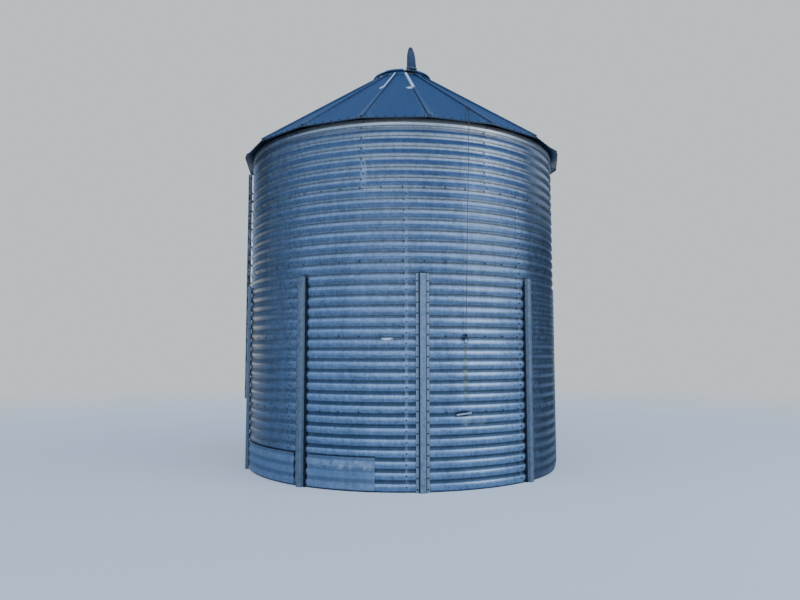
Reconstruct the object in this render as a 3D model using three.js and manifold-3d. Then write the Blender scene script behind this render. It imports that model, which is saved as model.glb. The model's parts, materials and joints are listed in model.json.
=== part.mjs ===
// Flat-bottom grain silo: corrugated steel wall in five rings, hat-section wall
// stiffeners, ribbed cone roof, filler collar with a hinged lid, side ladder and lid rope.
// Millimetres, +Z up, origin on the ground at the middle of the floor.
// An azimuth is measured in degrees from the front (-Y) towards the right (+X).

import * as THREE from 'three';
import { mergeVertices } from 'three/addons/utils/BufferGeometryUtils.js';
import Module from 'manifold-3d';

const wasm = await Module();
wasm.setup();

// Driving dimensions

const GAP = 0.3;

const WALL_RADIUS = 2133.6;
const CORRUGATION_PITCH = 121.5;
const CORRUGATION_DEPTH = 16;
const CORRUGATIONS_PER_RING = 7;
const RING_COUNT = 5;
const WALL_BACKING = 4;
const FACET_ANGLE = 20 / 3;
const SEGMENTS_PER_RING = 3;
const LOWER_SEAM_AZIMUTH = 0;
const TOP_SEAM_AZIMUTH = -2 * FACET_ANGLE;

const STIFFENER_AZIMUTHS = [-151.6, -112.2, -72.8, -33.4, 6, 45.4, 88, 128, 168];
const STIFFENER_HEIGHT = 2430;
const STIFFENER_WIDTH = 155;
const STIFFENER_CROWN = 65;
const STIFFENER_DEPTH = 40;
const STIFFENER_FLARE = 11;
const STIFFENER_SHEET = 4;

const FLOOR_THICKNESS = 6;

const STRIP_TOP = 384;
const STRIP_BOTTOM = 20;
const STRIP_SHEET = 3;
const STRIP_CLEARANCE = 0.7;
const STRIP_SPANS = [[-69, -36.2], [-30.6, -8.2]];

const ROOF_PANELS = 18;
const PANELS_PER_SECTOR = 3;
const RIB_AZIMUTH = 7.9;
const EAVE_RADIUS = 2258;
const EAVE_HEIGHT = 4205;
const ROOF_SLOPE = 0.704;
const ROOF_SHEET = 6;
const RIB_BASE = 50;
const RIB_TOP = 34;
const RIB_HEIGHT = 22;
const RIB_SETBACK = 24;
const RIB_SINK = 4;
const PANEL_OVERLAP = 2;
const COLLAR_SEAT = 0.4;

const EAVE_RING_FLANGE = 46;
const EAVE_RING_SHEET = 6;
const EAVE_RING_DROP = 120;

const COLLAR_RADIUS = 398;
const COLLAR_SHEET = 6;
const COLLAR_BOTTOM = 5478;
const COLLAR_TOP = 5568;
const COLLAR_BEAD = 8;

const LID_RADIUS = 430;
const LID_SHEET = 5;
const LID_RISE = 70;
const LID_CLEARANCE = 6;
const LID_LIP = 18;
const LID_SIDES = 36;

const HINGE_AZIMUTH = 17.9;
const HINGE_RADIUS = 447;
const HINGE_HEIGHT = 5590;
const PIN_RADIUS = 6;
const KNUCKLE_RADIUS = 13;
const KNUCKLE_LENGTH = 128;
const EAR_THICKNESS = 8;
const EAR_CLEARANCE = 2;

const LEVER_LENGTH = 326;
const LEVER_BASE = 140;
const LEVER_SHOULDER = 122;
const LEVER_SHOULDER_START = 185;
const LEVER_NECK = 100;
const LEVER_NECK_START = 240;
const LEVER_TIP = 62;
const LEVER_SHEET = 8;
const LEVER_START = 21;
const LEVER_LEAN = 8;
const LEVER_CORNER = 30;
const LEVER_FOOT = 70;
const LEVER_FOOT_INSET = 8;
const BRACE_RADIUS = 7;
const BRACE_SHARE = 0.62;
const BRACE_REACH = 270;
const BRACE_PAD = [48, 44, 12];
const BRACE_OVERRUN = 30;

const SHELF_DROP = 6;
const SHELF_SHEET = 8;
const COLLAR_PLATE = 6;
const COLLAR_PLATE_HALF = 38;
const COLLAR_PLATE_DROP = 12;
const EAR_HALF = 9;

const LADDER_BOTTOM = 893;
const LADDER_TOP = 4100;
const LADDER_REACH = 2163;
const STILE_DEPTH = 50;
const STILE_WIDTH = 30;
const STILE_SPACING = 400;
const RUNG_RADIUS = 11;
const RUNG_PITCH = 264;
const RUNG_COUNT = 12;
const FIRST_RUNG = 948;
const BRACKET_CRESTS = [8, 19, 30];
const BRACKET_SHEET = 6;
const BRACKET_HEIGHT = 40;
const BRACKET_SHORT = 8;

// The eye stands on a roof panel: across from the panel's middle line, up the slope from the eave
const EYE_ACROSS = 271;
const EYE_UP = 567;
const EYE_BASE = [24, 24, 5];
const EYE_OUTER = 14;
const EYE_INNER = 8;
const EYE_SHEET = 7;
const EYE_LIFT = 18;

const PIN_AZIMUTH = 19.45;
const PIN_GROOVE = 14;
const PIN_SHANK = 6;
const PIN_FLANGE = [14, 5];
const PIN_HEAD = [12, 7];
const PIN_REACH = 2182;

const RING_DISTANCE = 2164;
const RING_HALF_WIDTH = 28;
const RING_HALF_HEIGHT = 40;
const RING_WIRE = 8;

const CLEAT_AZIMUTH = 18.7;
const CLEAT_GROOVE = 7;
const CLEAT_TILT = 6;
const CLEAT_HALF = 95;
const CLEAT_FOOT = 24;
const CLEAT_NECK = 20;
const CLEAT_THROAT = 22;
const CLEAT_FRONT = 34;
const CLEAT_TIP = [30, 36];
const CLEAT_HEIGHT = 22;

const ROPE_RADIUS = 4;
const ROPE_STEPS_PER_SPAN = 3;
const EYE_KNOT = [800, -1595, 4562];
const EYE_KNOT_RADIUS = 11;
const END_KNOT_HEIGHT = 1733.2;
const END_KNOT_HALF = 18;
const END_KNOT_RADIUS = 15;

// The rope's middle line, from the knot at the eye over the eave to the knot at the pull ring
const ROPE_ROUTE = [
  [800, -1595, 4562],
  [804, -1608, 4555],
  [808, -1621, 4542],
  [812, -1638, 4522],
  [815, -1660, 4501],
  [817, -1694, 4477],
  [814, -1747, 4441],
  [798, -1872, 4360],
  [780, -2006, 4273],
  [772, -2071, 4230.5],
  [767, -2093, 4216],
  [767, -2099, 4209.5],
  [767, -2101, 4201],
  [766, -2100, 4172],
  [758, -2089, 3711],
  [746, -2074, 3098],
  [734.5, -2059, 2485],
  [724, -2045, 1922],
  [720.6, -2040.5, 1745],
];

// The rope's short free end, from the knot at the eye down to the eave
const TAIL_ROUTE = [
  [793, -1596, 4562],
  [786, -1604, 4551.5],
  [784, -1618, 4537],
  [784, -1637, 4523],
  [783, -1674, 4498.5],
  [774, -1766, 4437.5],
  [754, -1929, 4331],
  [732, -2094, 4224],
];

// Worked-out dimensions

const RING_HEIGHT = CORRUGATION_PITCH * CORRUGATIONS_PER_RING;
const WALL_HEIGHT = RING_HEIGHT * RING_COUNT;
const CREST_RADIUS = WALL_RADIUS + CORRUGATION_DEPTH / 2;
const GROOVE_RADIUS = WALL_RADIUS - CORRUGATION_DEPTH / 2;
const INNER_RADIUS = GROOVE_RADIUS - WALL_BACKING;
const HALF_FACET = FACET_ANGLE / 2;
const HALF_PANEL = 180 / ROOF_PANELS;
const rad = THREE.MathUtils.degToRad;

// Directions and places around the silo

function outward(azimuth) {
  return new THREE.Vector3(Math.sin(rad(azimuth)), -Math.cos(rad(azimuth)), 0);
}

function sideways(azimuth) {
  return new THREE.Vector3(Math.cos(rad(azimuth)), Math.sin(rad(azimuth)), 0);
}

function around(azimuth, radius, height) {
  return outward(azimuth).multiplyScalar(radius).setZ(height);
}

function frameAt(xAxis, yAxis, zAxis, origin) {
  return new THREE.Matrix4().makeBasis(xAxis, yAxis, zAxis).setPosition(origin);
}

// Axes of a fitting on the wall: X to the viewer's left, Y outwards, Z up
function wallFrame(azimuth, distance, height) {
  const up = new THREE.Vector3(0, 0, 1);
  return frameAt(sideways(azimuth).negate(), outward(azimuth), up, around(azimuth, distance, height));
}

// How far the faceted wall reaches along an azimuth, at a sideways offset from it
function wallReach(cornerRadius, azimuth, offset) {
  const angle = azimuth + THREE.MathUtils.radToDeg(Math.asin(offset / cornerRadius));
  const facet = (Math.floor(angle / FACET_ANGLE) + 0.5) * FACET_ANGLE;
  const turn = rad(facet - azimuth);
  return (cornerRadius * Math.cos(rad(HALF_FACET)) - offset * Math.sin(turn)) / Math.cos(turn);
}

// Distance from the axis of a flat seat on the wall whose feet lie near to far off its middle
function seatDistance(cornerRadius, azimuth, near, far) {
  const offsets = [near, far, -near, -far];
  const corner = Math.round(azimuth / FACET_ANGLE) * FACET_ANGLE;
  const cornerOffset = cornerRadius * Math.sin(rad(corner - azimuth));
  if (Math.abs(cornerOffset) > near && Math.abs(cornerOffset) < far) {
    offsets.push(cornerOffset);
  }
  return Math.max(...offsets.map((offset) => wallReach(cornerRadius, azimuth, offset))) + GAP;
}

// Corner radius of the wall at a height above or below the middle of a groove
function flankRadius(rise) {
  return GROOVE_RADIUS + (CORRUGATION_DEPTH * rise) / (CORRUGATION_PITCH / 2);
}

function crestHeight(index) {
  return (index + 0.5) * CORRUGATION_PITCH;
}

function grooveHeight(index) {
  return index * CORRUGATION_PITCH;
}

// Solids

class LevelArc extends THREE.Curve {
  constructor(radius, start, span) {
    super();
    this.radius = radius;
    this.start = start;
    this.span = span;
  }

  getPoint(t) {
    return around(this.start + t * this.span, this.radius, 0);
  }

  getPointAt(t) {
    return this.getPoint(t);
  }

  getTangentAt(t) {
    return sideways(this.start + t * this.span);
  }
}

// A smooth line sampled evenly between its given points, so that close points give short steps
class RouteCurve extends THREE.CatmullRomCurve3 {
  getPointAt(t, target) {
    return this.getPoint(t, target);
  }

  getTangentAt(t, target) {
    return this.getTangent(t, target);
  }
}

function polygon(points) {
  return new THREE.Shape(points.map(([x, y]) => new THREE.Vector2(x, y)));
}

function prism(points, depth) {
  return new THREE.ExtrudeGeometry(polygon(points), { depth, bevelEnabled: false });
}

function centredPrism(points, depth) {
  return prism(points, depth).translate(0, 0, -depth / 2);
}

// A section of [radius, height] points carried along a level arc
function arcSolid(section, start, span, steps) {
  const shape = polygon(section.map(([radius, height]) => [-height, WALL_RADIUS - radius]));
  const path = new LevelArc(WALL_RADIUS, start, span);
  return new THREE.ExtrudeGeometry(shape, { steps, extrudePath: path, bevelEnabled: false });
}

// A section of [radius, height] points turned round the vertical axis
function turned(section, sides, azimuth) {
  const points = section.map(([radius, height]) => new THREE.Vector2(radius, height));
  return new THREE.LatheGeometry(points, sides, rad(azimuth)).rotateX(Math.PI / 2);
}

function roundBar(radius, from, to, sides) {
  const length = from.distanceTo(to);
  const bar = new THREE.CylinderGeometry(radius, radius, length, sides);
  const turn = new THREE.Quaternion().setFromUnitVectors(
    new THREE.Vector3(0, 1, 0),
    to.clone().sub(from).normalize(),
  );
  const middle = from.clone().lerp(to, 0.5);
  return bar.applyQuaternion(turn).translate(middle.x, middle.y, middle.z);
}

// A flat ring of a given oval, with its hole along Y and its middle at the origin
function flatRing(halfWidth, halfHeight, wire, thickness, steps) {
  const ring = new THREE.Shape();
  ring.absellipse(0, 0, halfWidth, halfHeight, 0, 2 * Math.PI, false);
  const hole = new THREE.Path();
  hole.absellipse(0, 0, halfWidth - wire, halfHeight - wire, 0, 2 * Math.PI, true);
  ring.holes.push(hole);
  const plate = { depth: thickness, bevelEnabled: false, curveSegments: steps };
  return new THREE.ExtrudeGeometry(ring, plate)
    .translate(0, 0, -thickness / 2)
    .rotateX(Math.PI / 2);
}

function block(low, high) {
  const size = high.map((value, axis) => value - low[axis]);
  const middle = high.map((value, axis) => (value + low[axis]) / 2);
  return new THREE.BoxGeometry(...size).translate(...middle);
}

// Joins and cuts

function toManifold(geometry) {
  const bare = geometry.clone();
  bare.deleteAttribute('normal');
  bare.deleteAttribute('uv');
  const merged = mergeVertices(bare, 1e-3);
  return new wasm.Manifold(new wasm.Mesh({
    numProp: 3,
    vertProperties: new Float32Array(merged.attributes.position.array),
    triVerts: new Uint32Array(merged.index.array),
  }));
}

function toGeometry(manifold) {
  const mesh = manifold.getMesh();
  const geometry = new THREE.BufferGeometry();
  geometry.setAttribute('position', new THREE.BufferAttribute(new Float32Array(mesh.vertProperties), 3));
  geometry.setIndex(new THREE.BufferAttribute(new Uint32Array(mesh.triVerts), 1));
  geometry.computeVertexNormals();
  return geometry;
}

function fuse(...geometries) {
  return toGeometry(geometries.map(toManifold).reduce((whole, piece) => whole.add(piece)));
}

function cut(geometry, ...tools) {
  const start = toManifold(geometry);
  return toGeometry(tools.map(toManifold).reduce((whole, tool) => whole.subtract(tool), start));
}

// Materials

const FINISHES = {
  wallSteel: { color: 0x7f90a6, roughness: 0.42, metalness: 0.85 },
  stiffenerSteel: { color: 0x6d7680, roughness: 0.55, metalness: 0.75 },
  roofSteel: { color: 0x5f7288, roughness: 0.45, metalness: 0.8 },
  fittingSteel: { color: 0x55606c, roughness: 0.5, metalness: 0.8 },
  ladderSteel: { color: 0x4c5a68, roughness: 0.55, metalness: 0.7 },
  floorSteel: { color: 0x757c82, roughness: 0.6, metalness: 0.7 },
  stripSteel: { color: 0x8f9aa6, roughness: 0.5, metalness: 0.8 },
  ropeFibre: { color: 0x3d3f3c, roughness: 0.95, metalness: 0 },
};

const silo = new THREE.Group();
silo.name = 'grain_silo';

function addPart(name, geometry, finish, parent = silo) {
  const mesh = new THREE.Mesh(geometry, new THREE.MeshStandardMaterial(FINISHES[finish]));
  mesh.name = name;
  parent.add(mesh);
  return mesh;
}

// Wall: rings of corrugated sheet, counted from the ground

function corrugatedSection() {
  const outer = [];
  for (let i = 0; i <= 2 * CORRUGATIONS_PER_RING; i += 1) {
    const height = (i * CORRUGATION_PITCH) / 2;
    const level = Math.min(height, RING_HEIGHT - GAP);
    outer.push([i % 2 === 0 ? GROOVE_RADIUS : CREST_RADIUS, level]);
  }
  return [...outer, [INNER_RADIUS, RING_HEIGHT - GAP], [INNER_RADIUS, 0]];
}

function addWall() {
  const span = 360 / SEGMENTS_PER_RING;
  const slit = THREE.MathUtils.radToDeg(GAP / WALL_RADIUS);
  const steps = Math.round(span / FACET_ANGLE);
  for (let ring = 1; ring <= RING_COUNT; ring += 1) {
    const seam = ring === RING_COUNT ? TOP_SEAM_AZIMUTH : LOWER_SEAM_AZIMUTH;
    for (let segment = 0; segment < SEGMENTS_PER_RING; segment += 1) {
      const geometry = arcSolid(corrugatedSection(), seam + segment * span, span - slit, steps);
      const sheet = addPart(`wall_ring_${ring}_${'abc'[segment]}`, geometry, 'wallSteel');
      sheet.position.z = (ring - 1) * RING_HEIGHT;
    }
  }
}

// Hat-section stiffeners bolted to the crests

function hatSection() {
  const half = STIFFENER_WIDTH / 2;
  const crown = STIFFENER_CROWN / 2;
  const foot = crown + STIFFENER_FLARE;
  const sheet = STIFFENER_SHEET;
  const depth = STIFFENER_DEPTH;
  const right = [[half, 0], [half, sheet], [foot, sheet], [crown, depth]];
  const left = right.map(([x, y]) => [-x, y]).reverse();
  const insideRight = [[crown - sheet, depth - sheet], [foot - sheet, 0]];
  const insideLeft = insideRight.map(([x, y]) => [-x, y]).reverse();
  return [...right, ...left, ...insideLeft, ...insideRight];
}

function addStiffeners() {
  STIFFENER_AZIMUTHS.forEach((azimuth, i) => {
    const foot = STIFFENER_CROWN / 2 + STIFFENER_FLARE - STIFFENER_SHEET;
    const distance = seatDistance(CREST_RADIUS, azimuth, foot, STIFFENER_WIDTH / 2);
    const hat = prism(hatSection(), STIFFENER_HEIGHT).applyMatrix4(wallFrame(azimuth, distance, 0));
    addPart(`stiffener_${i + 1}`, hat, 'stiffenerSteel');
  });
}

// Floor sheet and the flat strips round the foot of the wall

function addFloor() {
  const radius = INNER_RADIUS - GAP;
  const section = [[0, 0], [radius, 0], [radius, FLOOR_THICKNESS], [0, FLOOR_THICKNESS]];
  addPart('floor_sheet', turned(section, 360 / FACET_ANGLE, 0), 'floorSteel');
}

function addBaseStrips() {
  const inner = CREST_RADIUS + STRIP_CLEARANCE;
  const outer = inner + STRIP_SHEET;
  const section = [[inner, STRIP_BOTTOM], [outer, STRIP_BOTTOM], [outer, STRIP_TOP], [inner, STRIP_TOP]];
  STRIP_SPANS.forEach(([start, end], index) => {
    const steps = Math.ceil((end - start) / 2);
    addPart(`base_strip_${index + 1}`, arcSolid(section, start, end - start, steps), 'stripSteel');
  });
}

// Roof: flat tapering panels that meet under raised ribs

const PANEL_SLOPE = ROOF_SLOPE / Math.cos(rad(HALF_PANEL));
const COLLAR_EDGE = (COLLAR_RADIUS + COLLAR_SEAT) / Math.cos(rad(HALF_PANEL));

function slopeFrame(azimuth, radius, height, slope) {
  const angle = Math.atan(slope);
  const up = outward(azimuth).multiplyScalar(-Math.cos(angle)).setZ(Math.sin(angle));
  const normal = outward(azimuth).multiplyScalar(Math.sin(angle)).setZ(Math.cos(angle));
  return { across: sideways(azimuth), up, normal, origin: around(azimuth, radius, height) };
}

function panelFrame(azimuth) {
  return slopeFrame(azimuth, EAVE_RADIUS * Math.cos(rad(HALF_PANEL)), EAVE_HEIGHT, PANEL_SLOPE);
}

function panelSolid(azimuth, leftExtra, rightExtra, low, high) {
  const run = (EAVE_RADIUS - COLLAR_EDGE) * Math.cos(rad(HALF_PANEL));
  const length = run * Math.hypot(1, PANEL_SLOPE);
  const eaveHalf = EAVE_RADIUS * Math.sin(rad(HALF_PANEL));
  const peakHalf = COLLAR_EDGE * Math.sin(rad(HALF_PANEL));
  const outline = [
    [-eaveHalf - leftExtra, 0],
    [eaveHalf + rightExtra, 0],
    [peakHalf + rightExtra, length],
    [-peakHalf - leftExtra, length],
  ];
  const { across, up, normal, origin } = panelFrame(azimuth);
  return prism(outline, high - low).translate(0, 0, low).applyMatrix4(frameAt(across, up, normal, origin));
}

function ribSolid(azimuth) {
  const run = EAVE_RADIUS - COLLAR_EDGE;
  const length = run * Math.hypot(1, ROOF_SLOPE) - RIB_SETBACK;
  const base = RIB_BASE / 2;
  const crown = RIB_TOP / 2;
  const low = ROOF_SHEET - RIB_SINK;
  const high = ROOF_SHEET + RIB_HEIGHT;
  const outline = [[-base, low], [base, low], [crown, high], [-crown, high]];
  const { across, up, normal, origin } = slopeFrame(azimuth, EAVE_RADIUS, EAVE_HEIGHT, ROOF_SLOPE);
  const start = origin.clone().addScaledVector(up, RIB_SETBACK);
  return prism(outline, length).applyMatrix4(frameAt(across.negate(), normal, up, start));
}

function addRoof() {
  const step = 2 * HALF_PANEL;
  const slit = GAP / 2;
  for (let sector = 0; sector < ROOF_PANELS / PANELS_PER_SECTOR; sector += 1) {
    const firstRib = RIB_AZIMUTH + (sector * PANELS_PER_SECTOR - 1) * step;
    const pieces = [];
    for (let i = 0; i < PANELS_PER_SECTOR; i += 1) {
      const left = i === 0 ? -slit : PANEL_OVERLAP;
      const right = i === PANELS_PER_SECTOR - 1 ? -slit : PANEL_OVERLAP;
      pieces.push(panelSolid(firstRib + (i + 0.5) * step, left, right, 0, ROOF_SHEET));
      pieces.push(ribSolid(firstRib + (i + 1) * step));
    }
    const nextPanel = firstRib + (PANELS_PER_SECTOR + 0.5) * step;
    const room = panelSolid(nextPanel, 0, 0, -ROOF_SHEET, ROOF_SHEET + GAP);
    addPart(`roof_sector_${sector + 1}`, cut(fuse(...pieces), room), 'roofSteel');
  }
}

// Ring inside the wall's top edge that the roof panels rest on

function addEaveRing() {
  const outer = wallReach(INNER_RADIUS, RIB_AZIMUTH, 0) - GAP;
  const inner = outer - EAVE_RING_FLANGE;
  const seat = GAP * Math.hypot(1, ROOF_SLOPE);
  const under = (radius) => EAVE_HEIGHT + (EAVE_RADIUS - radius) * ROOF_SLOPE - seat;
  const web = outer - EAVE_RING_SHEET;
  const drop = EAVE_RING_SHEET * Math.hypot(1, ROOF_SLOPE);
  const section = [
    [outer, WALL_HEIGHT - EAVE_RING_DROP],
    [outer, under(outer)],
    [inner, under(inner)],
    [inner, under(inner) - drop],
    [web, under(web) - drop],
    [web, WALL_HEIGHT - EAVE_RING_DROP],
    [outer, WALL_HEIGHT - EAVE_RING_DROP],
  ];
  addPart('eave_ring', turned(section, ROOF_PANELS, RIB_AZIMUTH), 'fittingSteel');
}

// Filler collar, lid and lid hinge, built about the hinge's azimuth

function addCollar() {
  const inner = COLLAR_RADIUS - COLLAR_SHEET;
  const section = [
    [inner, COLLAR_BOTTOM],
    [COLLAR_RADIUS, COLLAR_BOTTOM],
    [COLLAR_RADIUS, COLLAR_TOP],
    [inner - COLLAR_BEAD, COLLAR_TOP],
    [inner - COLLAR_BEAD, COLLAR_TOP - COLLAR_BEAD],
    [inner, COLLAR_TOP - COLLAR_BEAD],
    [inner, COLLAR_BOTTOM],
  ];
  addPart('roof_collar', turned(section, LID_SIDES, HINGE_AZIMUTH), 'roofSteel');
}

function lidTop(radius) {
  const rim = COLLAR_TOP + LID_CLEARANCE + LID_SHEET;
  return rim + LID_RISE * (1 - radius / LID_RADIUS);
}

function addLid() {
  const lipInner = LID_RADIUS - LID_SHEET;
  const lipBottom = COLLAR_TOP + LID_CLEARANCE - LID_LIP;
  const section = [
    [0, lidTop(0) - LID_SHEET],
    [lipInner, lidTop(lipInner) - LID_SHEET],
    [lipInner, lipBottom],
    [LID_RADIUS, lipBottom],
    [LID_RADIUS, lidTop(LID_RADIUS)],
    [0, lidTop(0)],
  ];
  addPart('lid_disc', turned(section, LID_SIDES, HINGE_AZIMUTH), 'roofSteel');
}

// The hinge group's own axes: X along the pin, Y outwards, Z up, origin on the pin's axis
const hinge = new THREE.Group();
const hingeOrigin = around(HINGE_AZIMUTH, HINGE_RADIUS, HINGE_HEIGHT);
hinge.applyMatrix4(frameAt(
  sideways(HINGE_AZIMUTH).negate(),
  outward(HINGE_AZIMUTH),
  new THREE.Vector3(0, 0, 1),
  hingeOrigin,
));

// A bar with its long side along the pin, given as [outward, up] points of its end face
function acrossPin(outline, width) {
  const turn = new THREE.Matrix4().makeBasis(
    new THREE.Vector3(0, 1, 0),
    new THREE.Vector3(0, 0, 1),
    new THREE.Vector3(1, 0, 0),
  );
  return centredPrism(outline, width).applyMatrix4(turn);
}

function pinBar(radius, length, sides) {
  const end = new THREE.Vector3(length / 2, 0, 0);
  return roundBar(radius, end.clone().negate(), end, sides);
}

function addLever() {
  const slope = LID_RISE / LID_RADIUS;
  const seat = (out) => lidTop(HINGE_RADIUS + out) - HINGE_HEIGHT + GAP;
  const footStart = LID_RADIUS - LEVER_FOOT_INSET - HINGE_RADIUS;
  const footEnd = footStart - LEVER_FOOT;
  const neckEnd = footStart - EAR_HALF;
  const lift = LEVER_SHEET * Math.hypot(1, slope);
  const wideFoot = acrossPin([
    [footStart, seat(footStart)],
    [footStart, seat(footStart) + lift],
    [footEnd, seat(footEnd) + lift],
    [footEnd, seat(footEnd)],
  ], LEVER_BASE);
  const neck = acrossPin([
    [0, -2],
    [0, KNUCKLE_RADIUS - 1],
    [neckEnd, seat(footStart) + lift + 2],
    [neckEnd, seat(neckEnd) + 1],
    [footStart, seat(footStart) + 1],
  ], KNUCKLE_LENGTH);
  const right = [
    [LEVER_BASE / 2, LEVER_START],
    [LEVER_SHOULDER / 2, LEVER_SHOULDER_START],
    [LEVER_NECK / 2, LEVER_NECK_START],
    [LEVER_TIP / 2 + 4, LEVER_LENGTH - LEVER_CORNER],
    [LEVER_TIP / 2 - 8, LEVER_LENGTH - LEVER_CORNER / 5],
    [LEVER_TIP / 4, LEVER_LENGTH],
  ];
  const left = right.map(([x, y]) => [-x, y]).reverse();
  const upright = new THREE.Matrix4().makeRotationX(Math.PI / 2);
  const plate = centredPrism([...right, ...left], LEVER_SHEET).applyMatrix4(upright);
  const stem = block(
    [-KNUCKLE_LENGTH / 2, -LEVER_SHEET / 2, 0],
    [KNUCKLE_LENGTH / 2, LEVER_SHEET / 2, 1.5 * LEVER_START],
  );
  const blade = fuse(plate, stem).rotateX(rad(LEVER_LEAN));
  const knuckle = pinBar(KNUCKLE_RADIUS, KNUCKLE_LENGTH, 16);
  const bore = pinBar(PIN_RADIUS + 0.5, 2 * KNUCKLE_LENGTH, 16);
  addPart('lid_lever', cut(fuse(knuckle, neck, wideFoot, blade), bore), 'fittingSteel', hinge);
}

// Round strut from a pad on the lid to the back of the lever
function addBrace() {
  const lean = rad(LEVER_LEAN);
  const along = LEVER_LENGTH * BRACE_SHARE;
  const back = -LEVER_SHEET / 2 - GAP;
  const top = new THREE.Vector3(0, back * Math.cos(lean) - along * Math.sin(lean), along * Math.cos(lean));
  const seat = (out) => lidTop(HINGE_RADIUS + out) - HINGE_HEIGHT + GAP;
  const foot = new THREE.Vector3(0, -BRACE_REACH, seat(-BRACE_REACH));
  const direction = top.clone().sub(foot).normalize();
  const bar = roundBar(
    BRACE_RADIUS,
    foot.clone().addScaledVector(direction, -BRACE_OVERRUN),
    top.clone().addScaledVector(direction, BRACE_OVERRUN),
    12,
  );
  const [padWidth, padLength, padSheet] = BRACE_PAD;
  const pad = block(
    [-padWidth / 2, foot.y - padLength / 2, foot.z - padSheet / 2],
    [padWidth / 2, foot.y + padLength / 2, foot.z + padSheet],
  );
  const far = foot.y - 2 * padLength;
  const near = foot.y + 2 * padLength;
  const lidOutline = [[far, seat(far)], [near, seat(near)], [near, -LID_RADIUS], [far, -LID_RADIUS]];
  const lidRoom = acrossPin(lidOutline, 2 * padWidth);
  const leverRoom = block([-padWidth, back, 0], [padWidth, back + LEVER_BASE, LEVER_LENGTH]).rotateX(lean);
  addPart('lid_brace', cut(fuse(bar, pad), lidRoom, leverRoom), 'fittingSteel', hinge);
}

// Shelf and ears on the collar that hold the lid's pin
function addHingeBracket() {
  const collarFace = COLLAR_RADIUS - HINGE_RADIUS + GAP;
  const earInner = KNUCKLE_LENGTH / 2 + EAR_CLEARANCE;
  const earOuter = earInner + EAR_THICKNESS;
  const shelfTop = COLLAR_TOP + LID_CLEARANCE - LID_LIP - SHELF_DROP - HINGE_HEIGHT;
  const shelfBottom = shelfTop - SHELF_SHEET;
  const plate = block(
    [-COLLAR_PLATE_HALF, collarFace, shelfBottom - COLLAR_PLATE_DROP],
    [COLLAR_PLATE_HALF, collarFace + COLLAR_PLATE, shelfTop],
  );
  const shelf = block([-earOuter, collarFace, shelfBottom], [earOuter, KNUCKLE_RADIUS, shelfTop]);
  const earSection = [
    [-EAR_HALF, shelfBottom + 1],
    [KNUCKLE_RADIUS, shelfBottom + 1],
    [KNUCKLE_RADIUS, 0],
    [EAR_HALF, EAR_HALF],
    [0, KNUCKLE_RADIUS],
    [-EAR_HALF, EAR_HALF],
  ];
  const ears = [-1, 1].map((side) => {
    const shift = side * (earInner + EAR_THICKNESS / 2);
    return acrossPin(earSection, EAR_THICKNESS).translate(shift, 0, 0);
  });
  const pin = pinBar(PIN_RADIUS, 2 * (earOuter + EAR_THICKNESS / 2), 16);
  addPart('hinge_bracket', fuse(plate, shelf, ...ears, pin), 'fittingSteel', hinge);
}

// Ladder on the left side

function addLadder() {
  const middle = -LADDER_REACH - STILE_DEPTH / 2;
  const stiles = [-1, 1].map((side) => {
    const centre = (side * STILE_SPACING) / 2;
    return block(
      [middle - STILE_DEPTH / 2, centre - STILE_WIDTH / 2, LADDER_BOTTOM],
      [middle + STILE_DEPTH / 2, centre + STILE_WIDTH / 2, LADDER_TOP],
    );
  });
  const rungs = [];
  for (let i = 0; i < RUNG_COUNT; i += 1) {
    const end = new THREE.Vector3(middle, STILE_SPACING / 2, FIRST_RUNG + i * RUNG_PITCH);
    rungs.push(roundBar(RUNG_RADIUS, end.clone().setY(-STILE_SPACING / 2), end, 8));
  }
  addPart('ladder', fuse(...stiles, ...rungs), 'ladderSteel');
}

// U brackets between the ladder's stiles that hold it off the wall

function addLadderBrackets() {
  const wallFace = CREST_RADIUS * Math.cos(rad(HALF_FACET)) + GAP;
  const armEnd = LADDER_REACH + STILE_DEPTH - BRACKET_SHORT;
  const outer = (STILE_SPACING - STILE_WIDTH) / 2 - GAP;
  const inner = outer - BRACKET_SHEET;
  const outline = [
    [-wallFace, -outer],
    [-armEnd, -outer],
    [-armEnd, -inner],
    [-wallFace - BRACKET_SHEET, -inner],
    [-wallFace - BRACKET_SHEET, inner],
    [-armEnd, inner],
    [-armEnd, outer],
    [-wallFace, outer],
  ];
  BRACKET_CRESTS.forEach((crest, index) => {
    const bracket = centredPrism(outline, BRACKET_HEIGHT).translate(0, 0, crestHeight(crest));
    addPart(`ladder_bracket_${index + 1}`, bracket, 'ladderSteel');
  });
}

// Eye beside a roof rib that the lid rope is knotted in

function addRopeEye() {
  const { across, up, normal, origin } = panelFrame(RIB_AZIMUTH + HALF_PANEL);
  const seat = origin.clone()
    .addScaledVector(across, EYE_ACROSS)
    .addScaledVector(up, EYE_UP)
    .addScaledVector(normal, ROOF_SHEET + GAP);
  const [width, length, sheet] = EYE_BASE;
  const base = block([-width / 2, -length / 2, 0], [width / 2, length / 2, sheet]);
  const loop = flatRing(EYE_OUTER, EYE_OUTER, EYE_OUTER - EYE_INNER, EYE_SHEET, 10);
  const eye = fuse(base, loop.translate(0, 0, EYE_LIFT));
  addPart('rope_eye', eye.applyMatrix4(frameAt(across, up, normal, seat)), 'fittingSteel');
}

// Headed pin in a groove of the wall, and the pull ring that hangs on it

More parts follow.
